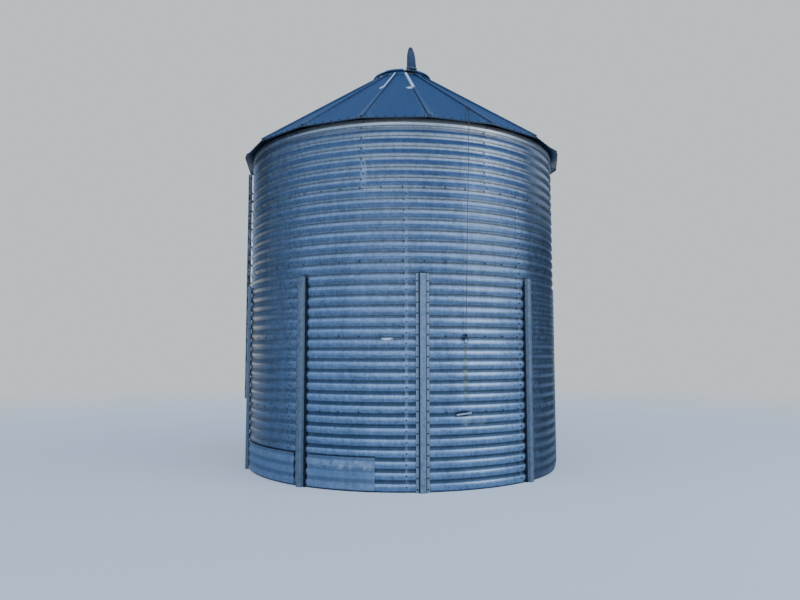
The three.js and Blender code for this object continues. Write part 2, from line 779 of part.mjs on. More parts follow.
function addRopeHook() {
  const [flangeRadius, flangeSheet] = PIN_FLANGE;
  const [headRadius, headSheet] = PIN_HEAD;
  const seat = seatDistance(flankRadius(flangeRadius), PIN_AZIMUTH, 0, flangeRadius);
  const at = (distance) => new THREE.Vector3(0, distance - seat, 0);
  const flange = roundBar(flangeRadius, at(seat), at(seat + flangeSheet), 16);
  const shank = roundBar(PIN_SHANK, at(seat + 1), at(PIN_REACH - 1), 12);
  const head = roundBar(headRadius, at(PIN_REACH - headSheet), at(PIN_REACH), 16);
  const place = wallFrame(PIN_AZIMUTH, seat, grooveHeight(PIN_GROOVE));
  addPart('rope_hook', fuse(flange, shank, head).applyMatrix4(place), 'fittingSteel');
}

function addPullRing() {
  const drop = RING_HALF_HEIGHT - RING_WIRE - PIN_SHANK - GAP;
  const ring = flatRing(RING_HALF_WIDTH, RING_HALF_HEIGHT, RING_WIRE, RING_WIRE, 14);
  const place = wallFrame(PIN_AZIMUTH, RING_DISTANCE, grooveHeight(PIN_GROOVE) - drop);
  addPart('pull_ring', ring.applyMatrix4(place), 'fittingSteel');
}

// Rope with its knot at the eye, its short free end and its knot at the pull ring

function ropeTube(route) {
  const section = new THREE.Shape();
  section.absarc(0, 0, ROPE_RADIUS, 0, 2 * Math.PI, false);
  const points = route.map((point) => new THREE.Vector3(...point));
  return new THREE.ExtrudeGeometry(section, {
    steps: ROPE_STEPS_PER_SPAN * (points.length - 1),
    extrudePath: new RouteCurve(points, false, 'centripetal'),
    bevelEnabled: false,
    curveSegments: 4,
  });
}

function addRope() {
  const eyeKnot = new THREE.IcosahedronGeometry(EYE_KNOT_RADIUS, 2).translate(...EYE_KNOT);
  const [x, y] = ROPE_ROUTE.at(-1);
  const endKnot = new THREE.IcosahedronGeometry(1, 2)
    .scale(END_KNOT_RADIUS, END_KNOT_RADIUS, END_KNOT_HALF)
    .translate(x, y, END_KNOT_HEIGHT);
  addPart('lid_rope', fuse(ropeTube(ROPE_ROUTE), ropeTube(TAIL_ROUTE), eyeKnot, endKnot), 'ropeFibre');
}

// Two-horned cleat in a groove of the wall, a little askew

function addCleat() {
  const [tipBack, tipFront] = CLEAT_TIP;
  const right = [
    [CLEAT_FOOT, 0],
    [CLEAT_NECK, CLEAT_NECK],
    [CLEAT_HALF - 12, CLEAT_THROAT],
    [CLEAT_HALF, tipBack],
    [CLEAT_HALF - 8, tipFront],
    [CLEAT_FOOT, CLEAT_FRONT],
  ];
  const left = right.map(([x, y]) => [-x, y]).reverse();
  const rise = CLEAT_HEIGHT / 2 + CLEAT_FOOT * Math.sin(rad(CLEAT_TILT));
  const seat = seatDistance(flankRadius(rise), CLEAT_AZIMUTH, 0, CLEAT_FOOT);
  const place = wallFrame(CLEAT_AZIMUTH, seat, grooveHeight(CLEAT_GROOVE));
  const cleat = centredPrism([...right, ...left], CLEAT_HEIGHT).rotateY(rad(CLEAT_TILT));
  addPart('wall_cleat', cleat.applyMatrix4(place), 'fittingSteel');
}

addFloor();
addWall();
addStiffeners();
addBaseStrips();
addEaveRing();
addRoof();
addCollar();
addLid();
silo.add(hinge);
addLever();
addBrace();
addHingeBracket();
addLadder();
addLadderBrackets();
addRopeEye();
addRopeHook();
addPullRing();
addRope();
addCleat();

export default silo;
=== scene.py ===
import json
import math
from functools import cache

import bmesh
import bpy
from bpy.props import FloatProperty, FloatVectorProperty, IntProperty, PointerProperty
from mathutils import Matrix, Vector, noise
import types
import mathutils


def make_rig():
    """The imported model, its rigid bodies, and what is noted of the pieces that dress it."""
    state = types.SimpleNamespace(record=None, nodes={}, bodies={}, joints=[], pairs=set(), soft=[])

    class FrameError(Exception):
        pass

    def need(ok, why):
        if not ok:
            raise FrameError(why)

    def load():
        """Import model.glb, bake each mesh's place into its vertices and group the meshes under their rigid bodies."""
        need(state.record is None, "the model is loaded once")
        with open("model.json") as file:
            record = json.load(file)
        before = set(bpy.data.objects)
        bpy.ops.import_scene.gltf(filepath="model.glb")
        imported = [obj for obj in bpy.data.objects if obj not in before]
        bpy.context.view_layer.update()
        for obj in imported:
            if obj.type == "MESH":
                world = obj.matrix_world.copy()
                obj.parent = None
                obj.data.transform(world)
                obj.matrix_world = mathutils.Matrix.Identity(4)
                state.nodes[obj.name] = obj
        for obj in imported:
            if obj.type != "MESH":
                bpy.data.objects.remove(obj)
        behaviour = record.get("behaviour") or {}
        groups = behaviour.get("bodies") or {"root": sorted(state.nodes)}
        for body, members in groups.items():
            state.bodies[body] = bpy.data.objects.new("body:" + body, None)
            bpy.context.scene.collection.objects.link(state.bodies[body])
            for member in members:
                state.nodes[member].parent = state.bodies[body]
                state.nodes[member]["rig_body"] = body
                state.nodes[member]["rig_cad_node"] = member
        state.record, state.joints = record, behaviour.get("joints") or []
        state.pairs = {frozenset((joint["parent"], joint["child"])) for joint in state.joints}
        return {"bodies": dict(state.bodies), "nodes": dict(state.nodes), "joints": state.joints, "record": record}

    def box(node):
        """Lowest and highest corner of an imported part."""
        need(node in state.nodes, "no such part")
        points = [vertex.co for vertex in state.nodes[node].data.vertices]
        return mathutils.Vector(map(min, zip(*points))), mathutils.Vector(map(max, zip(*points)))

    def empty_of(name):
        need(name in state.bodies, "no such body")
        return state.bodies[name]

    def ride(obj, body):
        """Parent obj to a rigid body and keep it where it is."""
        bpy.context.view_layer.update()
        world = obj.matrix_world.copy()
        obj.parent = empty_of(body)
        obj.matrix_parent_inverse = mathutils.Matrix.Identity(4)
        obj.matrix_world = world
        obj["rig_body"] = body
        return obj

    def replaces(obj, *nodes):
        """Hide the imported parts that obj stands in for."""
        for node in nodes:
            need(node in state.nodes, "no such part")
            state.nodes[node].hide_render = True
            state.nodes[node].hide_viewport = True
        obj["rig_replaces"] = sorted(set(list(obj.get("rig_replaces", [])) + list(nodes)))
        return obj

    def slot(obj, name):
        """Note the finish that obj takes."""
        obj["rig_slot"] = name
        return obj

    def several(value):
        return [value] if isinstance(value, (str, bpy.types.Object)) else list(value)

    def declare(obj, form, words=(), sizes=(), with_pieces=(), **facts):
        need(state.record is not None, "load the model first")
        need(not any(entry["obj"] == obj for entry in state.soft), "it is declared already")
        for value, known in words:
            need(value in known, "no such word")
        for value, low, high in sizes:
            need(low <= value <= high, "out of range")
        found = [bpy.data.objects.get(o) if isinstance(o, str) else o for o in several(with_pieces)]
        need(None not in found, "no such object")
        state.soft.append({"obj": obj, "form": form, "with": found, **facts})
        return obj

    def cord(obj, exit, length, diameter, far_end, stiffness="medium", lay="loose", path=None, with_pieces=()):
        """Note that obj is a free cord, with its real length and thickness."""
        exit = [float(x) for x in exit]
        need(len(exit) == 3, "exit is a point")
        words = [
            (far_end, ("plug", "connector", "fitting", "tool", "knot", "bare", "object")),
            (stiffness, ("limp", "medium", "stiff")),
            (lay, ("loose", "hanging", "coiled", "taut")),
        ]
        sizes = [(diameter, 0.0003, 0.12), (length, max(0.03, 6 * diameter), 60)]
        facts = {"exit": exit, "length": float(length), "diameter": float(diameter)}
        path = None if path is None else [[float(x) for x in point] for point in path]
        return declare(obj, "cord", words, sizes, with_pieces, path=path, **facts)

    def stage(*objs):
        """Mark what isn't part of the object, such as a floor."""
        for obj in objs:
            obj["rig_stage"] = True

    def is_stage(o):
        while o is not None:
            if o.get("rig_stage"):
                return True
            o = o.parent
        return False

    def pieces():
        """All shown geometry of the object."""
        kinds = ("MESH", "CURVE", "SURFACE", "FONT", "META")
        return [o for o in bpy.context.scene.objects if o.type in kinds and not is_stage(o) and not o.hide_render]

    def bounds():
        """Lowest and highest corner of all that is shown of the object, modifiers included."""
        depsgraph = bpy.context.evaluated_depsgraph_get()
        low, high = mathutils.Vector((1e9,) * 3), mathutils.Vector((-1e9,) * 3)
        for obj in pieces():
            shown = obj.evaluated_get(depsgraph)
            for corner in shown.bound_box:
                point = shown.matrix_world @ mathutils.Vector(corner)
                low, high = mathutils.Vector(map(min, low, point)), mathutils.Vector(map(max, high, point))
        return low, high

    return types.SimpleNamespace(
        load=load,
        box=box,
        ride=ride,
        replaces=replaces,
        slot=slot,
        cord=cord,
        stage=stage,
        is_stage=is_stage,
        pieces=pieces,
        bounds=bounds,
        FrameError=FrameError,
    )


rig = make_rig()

bl_info = {
    "name": "Grain Silo",
    "version": (1, 0, 0),
    "blender": (4, 5, 0),
    "location": "3D View > Sidebar > Silo",
    "description": "Builds the looks of a corrugated steel grain silo piece by piece",
    "category": "Add Mesh",
}

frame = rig.load()
CAD_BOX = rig.bounds()

# Directions are azimuths in degrees, from the front (-Y) towards the right (+X). Lengths are metres.

# The wall's rings and sheets, its stiffeners and the strips round its foot
RINGS = 5
SEGMENTS = "abc"
SHEETS_PER_SEGMENT = 3
SHEETS_ROUND = SHEETS_PER_SEGMENT * len(SEGMENTS)
SHEET_SPAN = 360 / SHEETS_ROUND
SHEET_GAP = 0.0003
SIDE_RAMP = 2.5
END_RAMP = 0.05
WAVE_FULLNESS = 0.7
STIFFENER_AZIMUTHS = (-151.6, -112.2, -72.8, -33.4, 6, 45.4, 88, 128, 168)
STRIP_SPANS = ((-69, -36.2), (-30.6, -8.2))

# The roof's panels and the ladder
ROOF_PANELS = 18
PANELS_PER_SECTOR = 3
PANEL_STEP = 360 / ROOF_PANELS
HALF_PANEL = PANEL_STEP / 2
PANEL_GAP = 0.0004
RUNGS = 12
LADDER_BRACKETS = 3

# How finely the meshes are made, and the angle over which an edge of each kind stays sharp
SHEET_COLUMNS = 25
SHEET_ROWS = 93
PANEL_COLUMNS = 8
PANEL_ROWS = 14
TURNED_STEPS = 96
SAME_PLACE = 1e-5
SHARP_SHEET = 50
SHARP_FOLD = 30
SHARP_BEND = 35
SHARP_TURNED = 40
SHARP_ROPE = 80

# The bolts' heads and washers, where those of the wall stand, and the seeds of the heads' turns
HEAD_HEIGHT = 0.0055
WASHER_HEIGHT = 0.002
BOLT_SEAT = 0.0015
GROOVE_BOLT_SHIFT = 0.35
CREST_BOLT_SHIFT = 1.15
JOINT_BOLT_RISE = 0.022
JOINT_BOLTS_PER_SHEET = 6
PIN_JOINT = 2
PIN_BOLT = 3
JOINT_SEED = 9
STIFFENER_SEED = 30
ROOF_SEED = 50

# The photograph's camera, with its focal length in pixels of the photograph
PHOTO_WIDTH = 800
FOCAL_PIXELS = 647
SENSOR_WIDTH = 36
CAMERA_PLACE = (-0.0285, -9.386, 1.56)
CAMERA_PITCH = 4.48

# The rope's middle line, from the knot at the eye over the eave to the knot at the pull ring
ROPE_ROUTE = [
    (0.800, -1.595, 4.562),
    (0.804, -1.608, 4.555),
    (0.808, -1.621, 4.542),
    (0.812, -1.638, 4.522),
    (0.815, -1.660, 4.501),
    (0.817, -1.694, 4.477),
    (0.814, -1.747, 4.441),
    (0.798, -1.872, 4.360),
    (0.780, -2.006, 4.273),
    (0.772, -2.071, 4.2305),
    (0.767, -2.093, 4.216),
    (0.767, -2.099, 4.2095),
    (0.767, -2.101, 4.201),
    (0.766, -2.100, 4.172),
    (0.758, -2.089, 3.711),
    (0.746, -2.074, 3.098),
    (0.7345, -2.059, 2.485),
    (0.724, -2.045, 1.922),
    (0.7206, -2.0405, 1.745),
]

# The rope's short free end, from the knot at the eye down to the eave
TAIL_ROUTE = [
    (0.793, -1.596, 4.562),
    (0.786, -1.604, 4.5515),
    (0.784, -1.618, 4.537),
    (0.784, -1.637, 4.523),
    (0.783, -1.674, 4.4985),
    (0.774, -1.766, 4.4375),
    (0.754, -1.929, 4.331),
    (0.732, -2.094, 4.224),
]


def colour(name, text, red, green, blue):
    """A colour property whose default is given as a screen colour from 0 to 255."""
    screen = [value / 255 for value in (red, green, blue)]
    linear = [value / 12.92 if value <= 0.04045 else ((value + 0.055) / 1.055) ** 2.4 for value in screen]
    return FloatVectorProperty(
        name=name, description=text, subtype="COLOR", size=4, min=0, max=1, default=(*linear, 1)
    )


def length(name, text, default):
    return FloatProperty(name=name, description=text, default=default, unit="LENGTH", precision=4)


def degrees(name, text, default):
    return FloatProperty(name=name, description=f"{text}, in degrees", default=default)


class WallSizes(bpy.types.PropertyGroup):
    crest_radius: length("Crest radius", "Distance from the axis to the wall's crests", 2.1416)
    depth: length("Depth", "Depth of the corrugations", 0.016)
    ring_height: length("Ring height", "Height that one ring of sheets covers", 0.8505)
    corrugations: IntProperty(name="Corrugations", description="Corrugations in one ring", default=7)
    sheet: length("Sheet", "Thickness of the sheet", 0.0014)
    side_lap: degrees("Side lap", "How far a sheet laps over its neighbour", 1.5)
    end_lap: length("End lap", "How far a ring laps down over the one below", 0.032)
    lower_seam: degrees("Lower seam", "Azimuth of a seam in rings 1 to 4", 0)
    top_seam: degrees("Top seam", "Azimuth of a seam in the top ring", -40 / 3)


class StiffenerSizes(bpy.types.PropertyGroup):
    height: length("Height", "Height of a stiffener", 2.43)
    width: length("Width", "Width over both flanges", 0.155)
    crown: length("Crown", "Width of the crown", 0.065)
    flare: length("Flare", "How far a web leans outwards", 0.011)
    depth: length("Depth", "Depth of the hat section", 0.04)
    sheet: length("Sheet", "Thickness of the sheet", 0.0035)


class RoofSizes(bpy.types.PropertyGroup):
    eave_radius: length("Eave radius", "Distance from the axis to an eave corner", 2.258)
    eave_height: length("Eave height", "Height of the eave corners' underside", 4.205)
    slope: FloatProperty(name="Slope", description="Rise over run along a rib", default=0.704)
    rib_azimuth: degrees("Rib azimuth", "Azimuth of a rib", 7.9)
    panel_top: length("Panel top", "Height of the panels' top over their underside", 0.006)
    sheet: length("Sheet", "Thickness of the roof sheet", 0.0016)
    lip: length("Lip", "Depth of the lip turned down at the eave", 0.016)
    rib_base: length("Rib base", "Width of a rib's foot", 0.05)
    rib_top: length("Rib top", "Width of a rib's top", 0.034)
    rib_height: length("Rib height", "Height of a rib over the panels", 0.022)
    rib_setback: length("Rib setback", "Distance from the eave corner to a rib's end", 0.024)
    collar_radius: length("Collar radius", "Radius of the filler collar", 0.398)


class LidSizes(bpy.types.PropertyGroup):
    radius: length("Radius", "Radius of the lid", 0.43)
    rise: length("Rise", "Height of the lid's cone", 0.07)
    rim_height: length("Rim height", "Height of the lid's top edge", 5.579)
    lip: length("Lip", "Depth of the lid's rim under its edge", 0.023)
    sheet: length("Sheet", "Thickness of the lid", 0.004)


class FittingSizes(bpy.types.PropertyGroup):
    rope_diameter: length("Rope", "Diameter of the lid rope", 0.008)
    pin_azimuth: degrees("Pin azimuth", "Azimuth of the pin that holds the pull ring", 19.45)
    pin_height: length("Pin height", "Height of the pin", 1.701)
    pin_seat: length("Pin seat", "Distance from the axis to the pin's washer", 2.1298)
    pin_reach: length("Pin reach", "Distance from the axis to the pin's head", 2.182)
    pin_shank: length("Pin shank", "Radius of the pin's shank", 0.006)
    pin_head: length("Pin head", "Radius of the pin's head", 0.012)
    pin_washer: length("Pin washer", "Radius of the pin's washer", 0.014)
    ring_distance: length("Ring distance", "Distance from the axis to the pull ring", 2.164)
    ring_height: length("Ring height", "Height of the pull ring's middle", 1.6753)
    ring_half_width: length("Ring half width", "Half width of the pull ring", 0.028)
    ring_half_height: length("Ring half height", "Half height of the pull ring", 0.04)
    ring_wire: length("Ring wire", "Thickness of the pull ring's wire", 0.008)
    bolt_head: length("Bolt head", "Radius of a bolt's hex head", 0.0078)
    bolt_washer: length("Bolt washer", "Radius of the washer under a bolt's head", 0.0098)


class LadderSizes(bpy.types.PropertyGroup):
    first_rung: length("First rung", "Height of the lowest rung", 0.948)
    rung_rise: length("Rung rise", "Height from one rung to the next", 0.264)
    rung_radius: length("Rung radius", "Radius of a rung", 0.011)
    stile_depth: length("Stile depth", "Depth of a stile off the wall", 0.05)
    stile_width: length("Stile width", "Width of a stile along the wall", 0.03)


class SiloColours(bpy.types.PropertyGroup):
    # The wall's band colours are painted light: pale bends and blue crests stand for the sky's reflection, dark
    # grooves for shade with some dirt, and the even side tone for the dimmer, flatter light away from the front.
    shoulder_low: colour("Low bends", "Pale bends of the lower rings", 132, 154, 180)
    shoulder_high: colour("High bends", "Pale bends of the top ring", 166, 172, 180)
    crest_low: colour("Low crest", "Wall crests near the ground", 132, 156, 184)
    crest_high: colour("High crest", "Wall crests near the eave", 66, 84, 110)
    plain: colour("Weathered wall", "Even tone of the wall away from the front", 102, 118, 138)
    groove_low: colour("Low groove", "Wall grooves near the ground", 60, 78, 94)
    groove_high: colour("High groove", "Wall grooves near the eave", 98, 95, 86)
    grime: colour("Grime", "Brown dirt on the steel", 92, 84, 76)
    moss: colour("Moss", "Olive streaks under the fittings", 112, 118, 96)
    # Pale worn patches, and also a painted highlight on the lower rings' upper bends.
    scuff_and_sheen: colour("Scuff", "Pale worn patches", 206, 216, 228)
    roof: colour("Roof", "Roof sheets", 64, 96, 132)
    eave: colour("Eave", "Shaded edge of the roof sheets", 42, 48, 56)
    stiffener: colour("Stiffener", "Wall stiffeners", 120, 136, 152)
    web: colour("Stiffener web", "Shaded sides of the stiffeners", 42, 56, 74)
    fitting: colour("Fitting", "Lid lever, brace and small fittings", 58, 67, 84)
    hinge: colour("Hinge", "Oiled and rusted hinge", 42, 48, 54)
    ladder: colour("Ladder", "Ladder", 32, 42, 54)
    strip: colour("Strip", "Base strips", 116, 142, 172)
    floor: colour("Floor sheet", "Steel floor inside", 120, 128, 134)
    bolt: colour("Bolt", "Bolt heads", 38, 47, 60)
    dark_bolt: colour("Dark bolt", "Bolts of the stiffeners and the roof", 34, 42, 52)
    rope: colour("Rope", "Lid rope", 84, 94, 104)
    knot: colour("Knot", "Tarred knots of the rope", 24, 28, 34)
    # Painted glints and highlights, and bare zinc at one worn dent.
    glint: colour("Glint", "Bright bare zinc", 250, 252, 254)
    # Painted warm reflection of the ground, in the eave's shade and low on the left side.
    warm_reflection: colour("Warm reflection", "Dust under the eave", 226, 208, 182)
    rust: colour("Rust", "Rust at edges and bolts", 116, 70, 40)


class StageSizes(bpy.types.PropertyGroup):
    floor_radius: length("Floor radius", "Radius of the stage floor", 60)
    floor_colour: colour("Stage floor", "Colour of the stage floor", 205, 208, 210)
    backdrop: colour("Backdrop", "Colour behind the silo", 222, 228, 234)
    key_power: FloatProperty(name="Key", description="Power of the main light", default=290, unit="POWER")
    fill_power: FloatProperty(name="Fill", description="Power of the fill light", default=170, unit="POWER")
    sky_strength: FloatProperty(name="Sky", description="Strength of the soft light all round", default=1.15)


class SiloSettings(bpy.types.PropertyGroup):
    wall: PointerProperty(type=WallSizes)
    stiffener: PointerProperty(type=StiffenerSizes)
    roof: PointerProperty(type=RoofSizes)
    lid: PointerProperty(type=LidSizes)
    fitting: PointerProperty(type=FittingSizes)
    ladder: PointerProperty(type=LadderSizes)
    colours: PointerProperty(type=SiloColours)
    stage: PointerProperty(type=StageSizes)


# Directions and places around the silo


def outward(azimuth):
    angle = math.radians(azimuth)
    return Vector((math.sin(angle), -math.cos(angle), 0))


def sideways(azimuth):
    angle = math.radians(azimuth)
    return Vector((math.cos(angle), math.sin(angle), 0))


def around(azimuth, radius, height):
    place = outward(azimuth) * radius
    place.z = height
    return place


def axes(x_axis, y_axis, z_axis, origin):
    """The matrix that carries a shape made at the origin to a place with the given axes."""
    matrix = Matrix((x_axis, y_axis, z_axis)).transposed().to_4x4()
    matrix.translation = origin
    return matrix


def wall_axes(azimuth, radius, height):
    """Axes of a fitting on the wall: X to the viewer's right, Y into the wall, Z up."""
    return axes(sideways(azimuth), -outward(azimuth), Vector((0, 0, 1)), around(azimuth, radius, height))


def slope_axes(azimuth, radius, height, slope):
    """Axes on the roof: X across, Y up the slope, Z off the surface."""
    angle = math.atan(slope)
    up = -outward(azimuth) * math.cos(angle) + Vector((0, 0, math.sin(angle)))
    normal = outward(azimuth) * math.sin(angle) + Vector((0, 0, math.cos(angle)))
    return axes(sideways(azimuth), up, normal, around(azimuth, radius, height))


def panel_axes(roof, azimuth):
    slope = roof.slope / math.cos(math.radians(HALF_PANEL))
    radius = roof.eave_radius * math.cos(math.radians(HALF_PANEL))
    return slope_axes(azimuth, radius, roof.eave_height, slope)


# Outlines


def arc(centre, radius, start, end, steps):
    """Points along an arc in a plane, with its angles in degrees."""
    points = []
    for i in range(steps + 1):
        angle = math.radians(start + (end - start) * i / steps)
        points.append((centre[0] + radius * math.cos(angle), centre[1] + radius * math.sin(angle)))
    return points


def full_turn(steps):
    """Angles at even steps round a circle, in radians."""
    return [2 * math.pi * k / steps for k in range(steps)]


def rounded(points, radius, steps=3, closed=True):
    """The outline with each corner turned by a small arc; an open outline keeps its ends."""
    result = []
    count = len(points)
    for i, point in enumerate(points):
        here = Vector(point)
        if not closed and i in (0, count - 1):
            result.append(here)
            continue
        before = Vector(points[i - 1]) - here
        after = Vector(points[(i + 1) % count]) - here
        half = before.angle(after) / 2
        reach = min(radius / math.tan(half), 0.45 * before.length, 0.45 * after.length)
        first = here + before.normalized() * reach
        last = here + after.normalized() * reach
        for k in range(steps + 1):
            t = k / steps
            result.append(first * (1 - t) ** 2 + here * 2 * t * (1 - t) + last * t ** 2)
    return result


def folded_section(path, thickness):
    """The closed outline of a sheet of even thickness whose middle follows an open path."""
    sides = []
    for i, point in enumerate(path):
        along = path[min(i + 1, len(path) - 1)] - path[max(i - 1, 0)]
        normal = Vector((-along.y, along.x)).normalized()
        sides.append((point + normal * thickness / 2, point - normal * thickness / 2))
    return [side[0] for side in sides] + [side[1] for side in reversed(sides)]


def smooth_route(points, spacing):
    """Evenly spaced points on a smooth line through the given ones (a centripetal spline)."""
    route = [Vector(point) for point in points]
    padded = [route[0] * 2 - route[1], *route, route[-1] * 2 - route[-2]]
    fine = []
    for p0, p1, p2, p3 in zip(padded, padded[1:], padded[2:], padded[3:]):
        knots = [0.0]
        for a, b in ((p0, p1), (p1, p2), (p2, p3)):
            knots.append(knots[-1] + math.sqrt((b - a).length))
        steps = max(2, round((p2 - p1).length / spacing * 2))
        fine += [spline_point((p0, p1, p2, p3), knots, k / steps) for k in range(steps)]
    fine.append(route[-1])
    total = sum((b - a).length for a, b in zip(fine, fine[1:]))
    count = round(total / spacing)
    even = [fine[0]]
    walked = 0.0
    for a, b in zip(fine, fine[1:]):
        step = (b - a).length
        while len(even) < count and len(even) * total / count <= walked + step:
            even.append(a.lerp(b, (len(even) * total / count - walked) / step))
        walked += step
    return [*even, fine[-1]], total


def spline_point(points, knots, share):
    """One point of a centripetal spline, between its second and third points."""
    time = knots[1] + (knots[2] - knots[1]) * share
    level = list(points)
    for width in (1, 2):
        level = [
            level[i].lerp(level[i + 1], (time - knots[i]) / (knots[i + width] - knots[i]))
            for i in range(len(level) - 1)
        ]
    return level[0].lerp(level[1], share)


# Meshes


class Shape:
    """Closed solids that are collected into one mesh."""

    def __init__(self):
        self.bm = bmesh.new()

    def loft(self, rings, looped=False):
        """A solid whose surface runs from one closed ring of points to the next."""
        rows = [[self.bm.verts.new(point) for point in ring] for ring in rings]
        pairs = list(zip(rows, rows[1:]))
        if looped:
            pairs.append((rows[-1], rows[0]))
        for lower, upper in pairs:
            for i in range(len(lower)):
                k = (i + 1) % len(lower)
                self.bm.faces.new((lower[i], lower[k], upper[k], upper[i]))
        if not looped:
            self.bm.faces.new(list(reversed(rows[0])))
            self.bm.faces.new(rows[-1])

    def prism(self, outline, low, high, matrix):
        """A solid with a level outline in X and Y between two heights, carried by a matrix."""
        self.loft([[matrix @ Vector((p[0], p[1], z)) for p in outline] for z in (low, high)])

    def turned(self, profile, steps, matrix=Matrix()):
        """A profile of (radius, height) points turned round Z; points on the axis close it."""
        start = len(self.bm.verts)
        rings = []
        for turn in full_turn(steps):
            rings.append([matrix @ Vector((r * math.cos(turn), r * math.sin(turn), z)) for r, z in profile])
        self.loft(rings, looped=True)
        self.merge(start)

    def tube(self, route, section, sides=12):
        """A tube along a route; section(distance, turn) gives its radius."""
        rings = []
        side = Vector((1, 0, 0))
        walked = 0.0
        for i, point in enumerate(route):
            along = (route[min(i + 1, len(route) - 1)] - route[max(i - 1, 0)]).normalized()
            side = (side - along * side.dot(along)).normalized()
            if i:
                walked += (point - route[i - 1]).length
            reaches = [section(walked, turn) for turn in full_turn(sides)]
            rings.append(spokes(point, side, along.cross(side), reaches))
        self.loft(rings)

    def ring_tube(self, centre_line, wire, sides):
        """A round wire of a given radius along a closed line of points."""
        rings = []
        count = len(centre_line)
        middle = sum(centre_line, Vector()) / count
        for i, point in enumerate(centre_line):
            along = (centre_line[(i + 1) % count] - centre_line[i - 1]).normalized()
            side = (point - middle) - along * (point - middle).dot(along)
            side.normalize()
            rings.append(spokes(point, side, along.cross(side), [wire] * sides))
        self.loft(rings, looped=True)

    def copy_of(self, node):
        """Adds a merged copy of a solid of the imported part."""
        start = len(self.bm.verts)
        self.bm.from_mesh(frame["nodes"][node].data)
        self.merge(start)
        bmesh.ops.dissolve_limit(
            self.bm, angle_limit=math.radians(1), verts=self.bm.verts[:], edges=self.bm.edges[:]
        )

    def merge(self, start):
        """Merges the doubles among the points from a number on."""
        self.bm.verts.ensure_lookup_table()
        bmesh.ops.remove_doubles(self.bm, verts=self.bm.verts[start:], dist=SAME_PLACE)

    def soften(self, width, segments=2, sharpest=25):
        """Rounds every edge that is sharper than an angle in degrees."""
        limit = math.radians(sharpest)
        edges = [e for e in self.bm.edges if e.is_manifold and e.calc_face_angle(0) > limit]
        bmesh.ops.bevel(
            self.bm, geom=edges, offset=width, offset_type="OFFSET", segments=segments, profile=0.5,
            affect="EDGES", clamp_overlap=True,
        )

    def mesh(self, sharp):
        """The finished mesh, whose edges stay sharp over an angle in degrees."""
        bmesh.ops.recalc_face_normals(self.bm, faces=self.bm.faces[:])
        return shaded(self.bm, sharp)


def spokes(point, side, other, reaches):
    """Points all round a point, one for each of the given distances."""
    ring = []
    for turn, reach in zip(full_turn(len(reaches)), reaches):
        ring.append(point + (side * math.cos(turn) + other * math.sin(turn)) * reach)
    return ring


def shaded(bm, sharp):
    """A smooth mesh with edges kept sharp over an angle in degrees."""
    mesh = bpy.data.meshes.new("shape")
    bm.to_mesh(mesh)
    bm.free()
    mesh.polygons.foreach_set("use_smooth", [True] * len(mesh.polygons))
    mesh.set_sharp_from_angle(angle=math.radians(sharp))
    return mesh


def joined(meshes, sharp):
    """One smooth mesh from several."""
    bm = bmesh.new()
    for mesh in meshes:
        bm.from_mesh(mesh)
        bpy.data.meshes.remove(mesh)
    return shaded(bm, sharp)


def mark_across(mesh, lines):
    """Writes on each point how far it lies from the nearest of some middle lines (place, sideways)."""
    values = []
    for vertex in mesh.vertices:
        reaches = [(vertex.co - place).dot(side) for place, side in lines]
        values.append(min(reaches, key=abs))
    mesh.attributes.new("across", "FLOAT", "POINT").data.foreach_set("value", values)


def add_piece(name, mesh, finish, slot, body="silo", replaces=()):
    """Links a finished mesh at the origin, gives it its finish and lets it ride on its body."""
    piece = bpy.data.objects.new(name, mesh)
    bpy.context.scene.collection.objects.link(piece)
    mesh.name = name
    mesh.materials.clear()
    mesh.materials.append(finishes()[finish])
    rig.ride(piece, body)
    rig.slot(piece, slot)
    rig.replaces(piece, *replaces)
    return piece


def softened(node, name, finish, slot, width, segments=2, sharp=SHARP_FOLD, body="silo"):
    """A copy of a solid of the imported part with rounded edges, which shows in its place."""
    shape = Shape()
    shape.copy_of(node)
    shape.soften(width, segments)
    add_piece(name, shape.mesh(sharp), finish, slot, body, [node])


def dress(node, finish):
    """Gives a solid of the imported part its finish."""
    materials = frame["nodes"][node].data.materials
    materials.clear()
    materials.append(finishes()[finish])


# Node trees


class Field:
    """A number that changes over a surface, whose arithmetic adds nodes to its tree."""

    def __init__(self, nodes, socket):
        self.nodes = nodes
        self.socket = socket

    def __add__(self, other):
        return self.nodes.math("ADD", self, other)

    def __sub__(self, other):
        return self.nodes.math("SUBTRACT", self, other)

    def __rsub__(self, other):
        return self.nodes.math("SUBTRACT", other, self)

    def __mul__(self, other):
        return self.nodes.math("MULTIPLY", self, other)

    def __truediv__(self, other):
        return self.nodes.math("DIVIDE", self, other)

    def __pow__(self, other):
        return self.nodes.math("POWER", self, other)

    __radd__ = __add__
    __rmul__ = __mul__


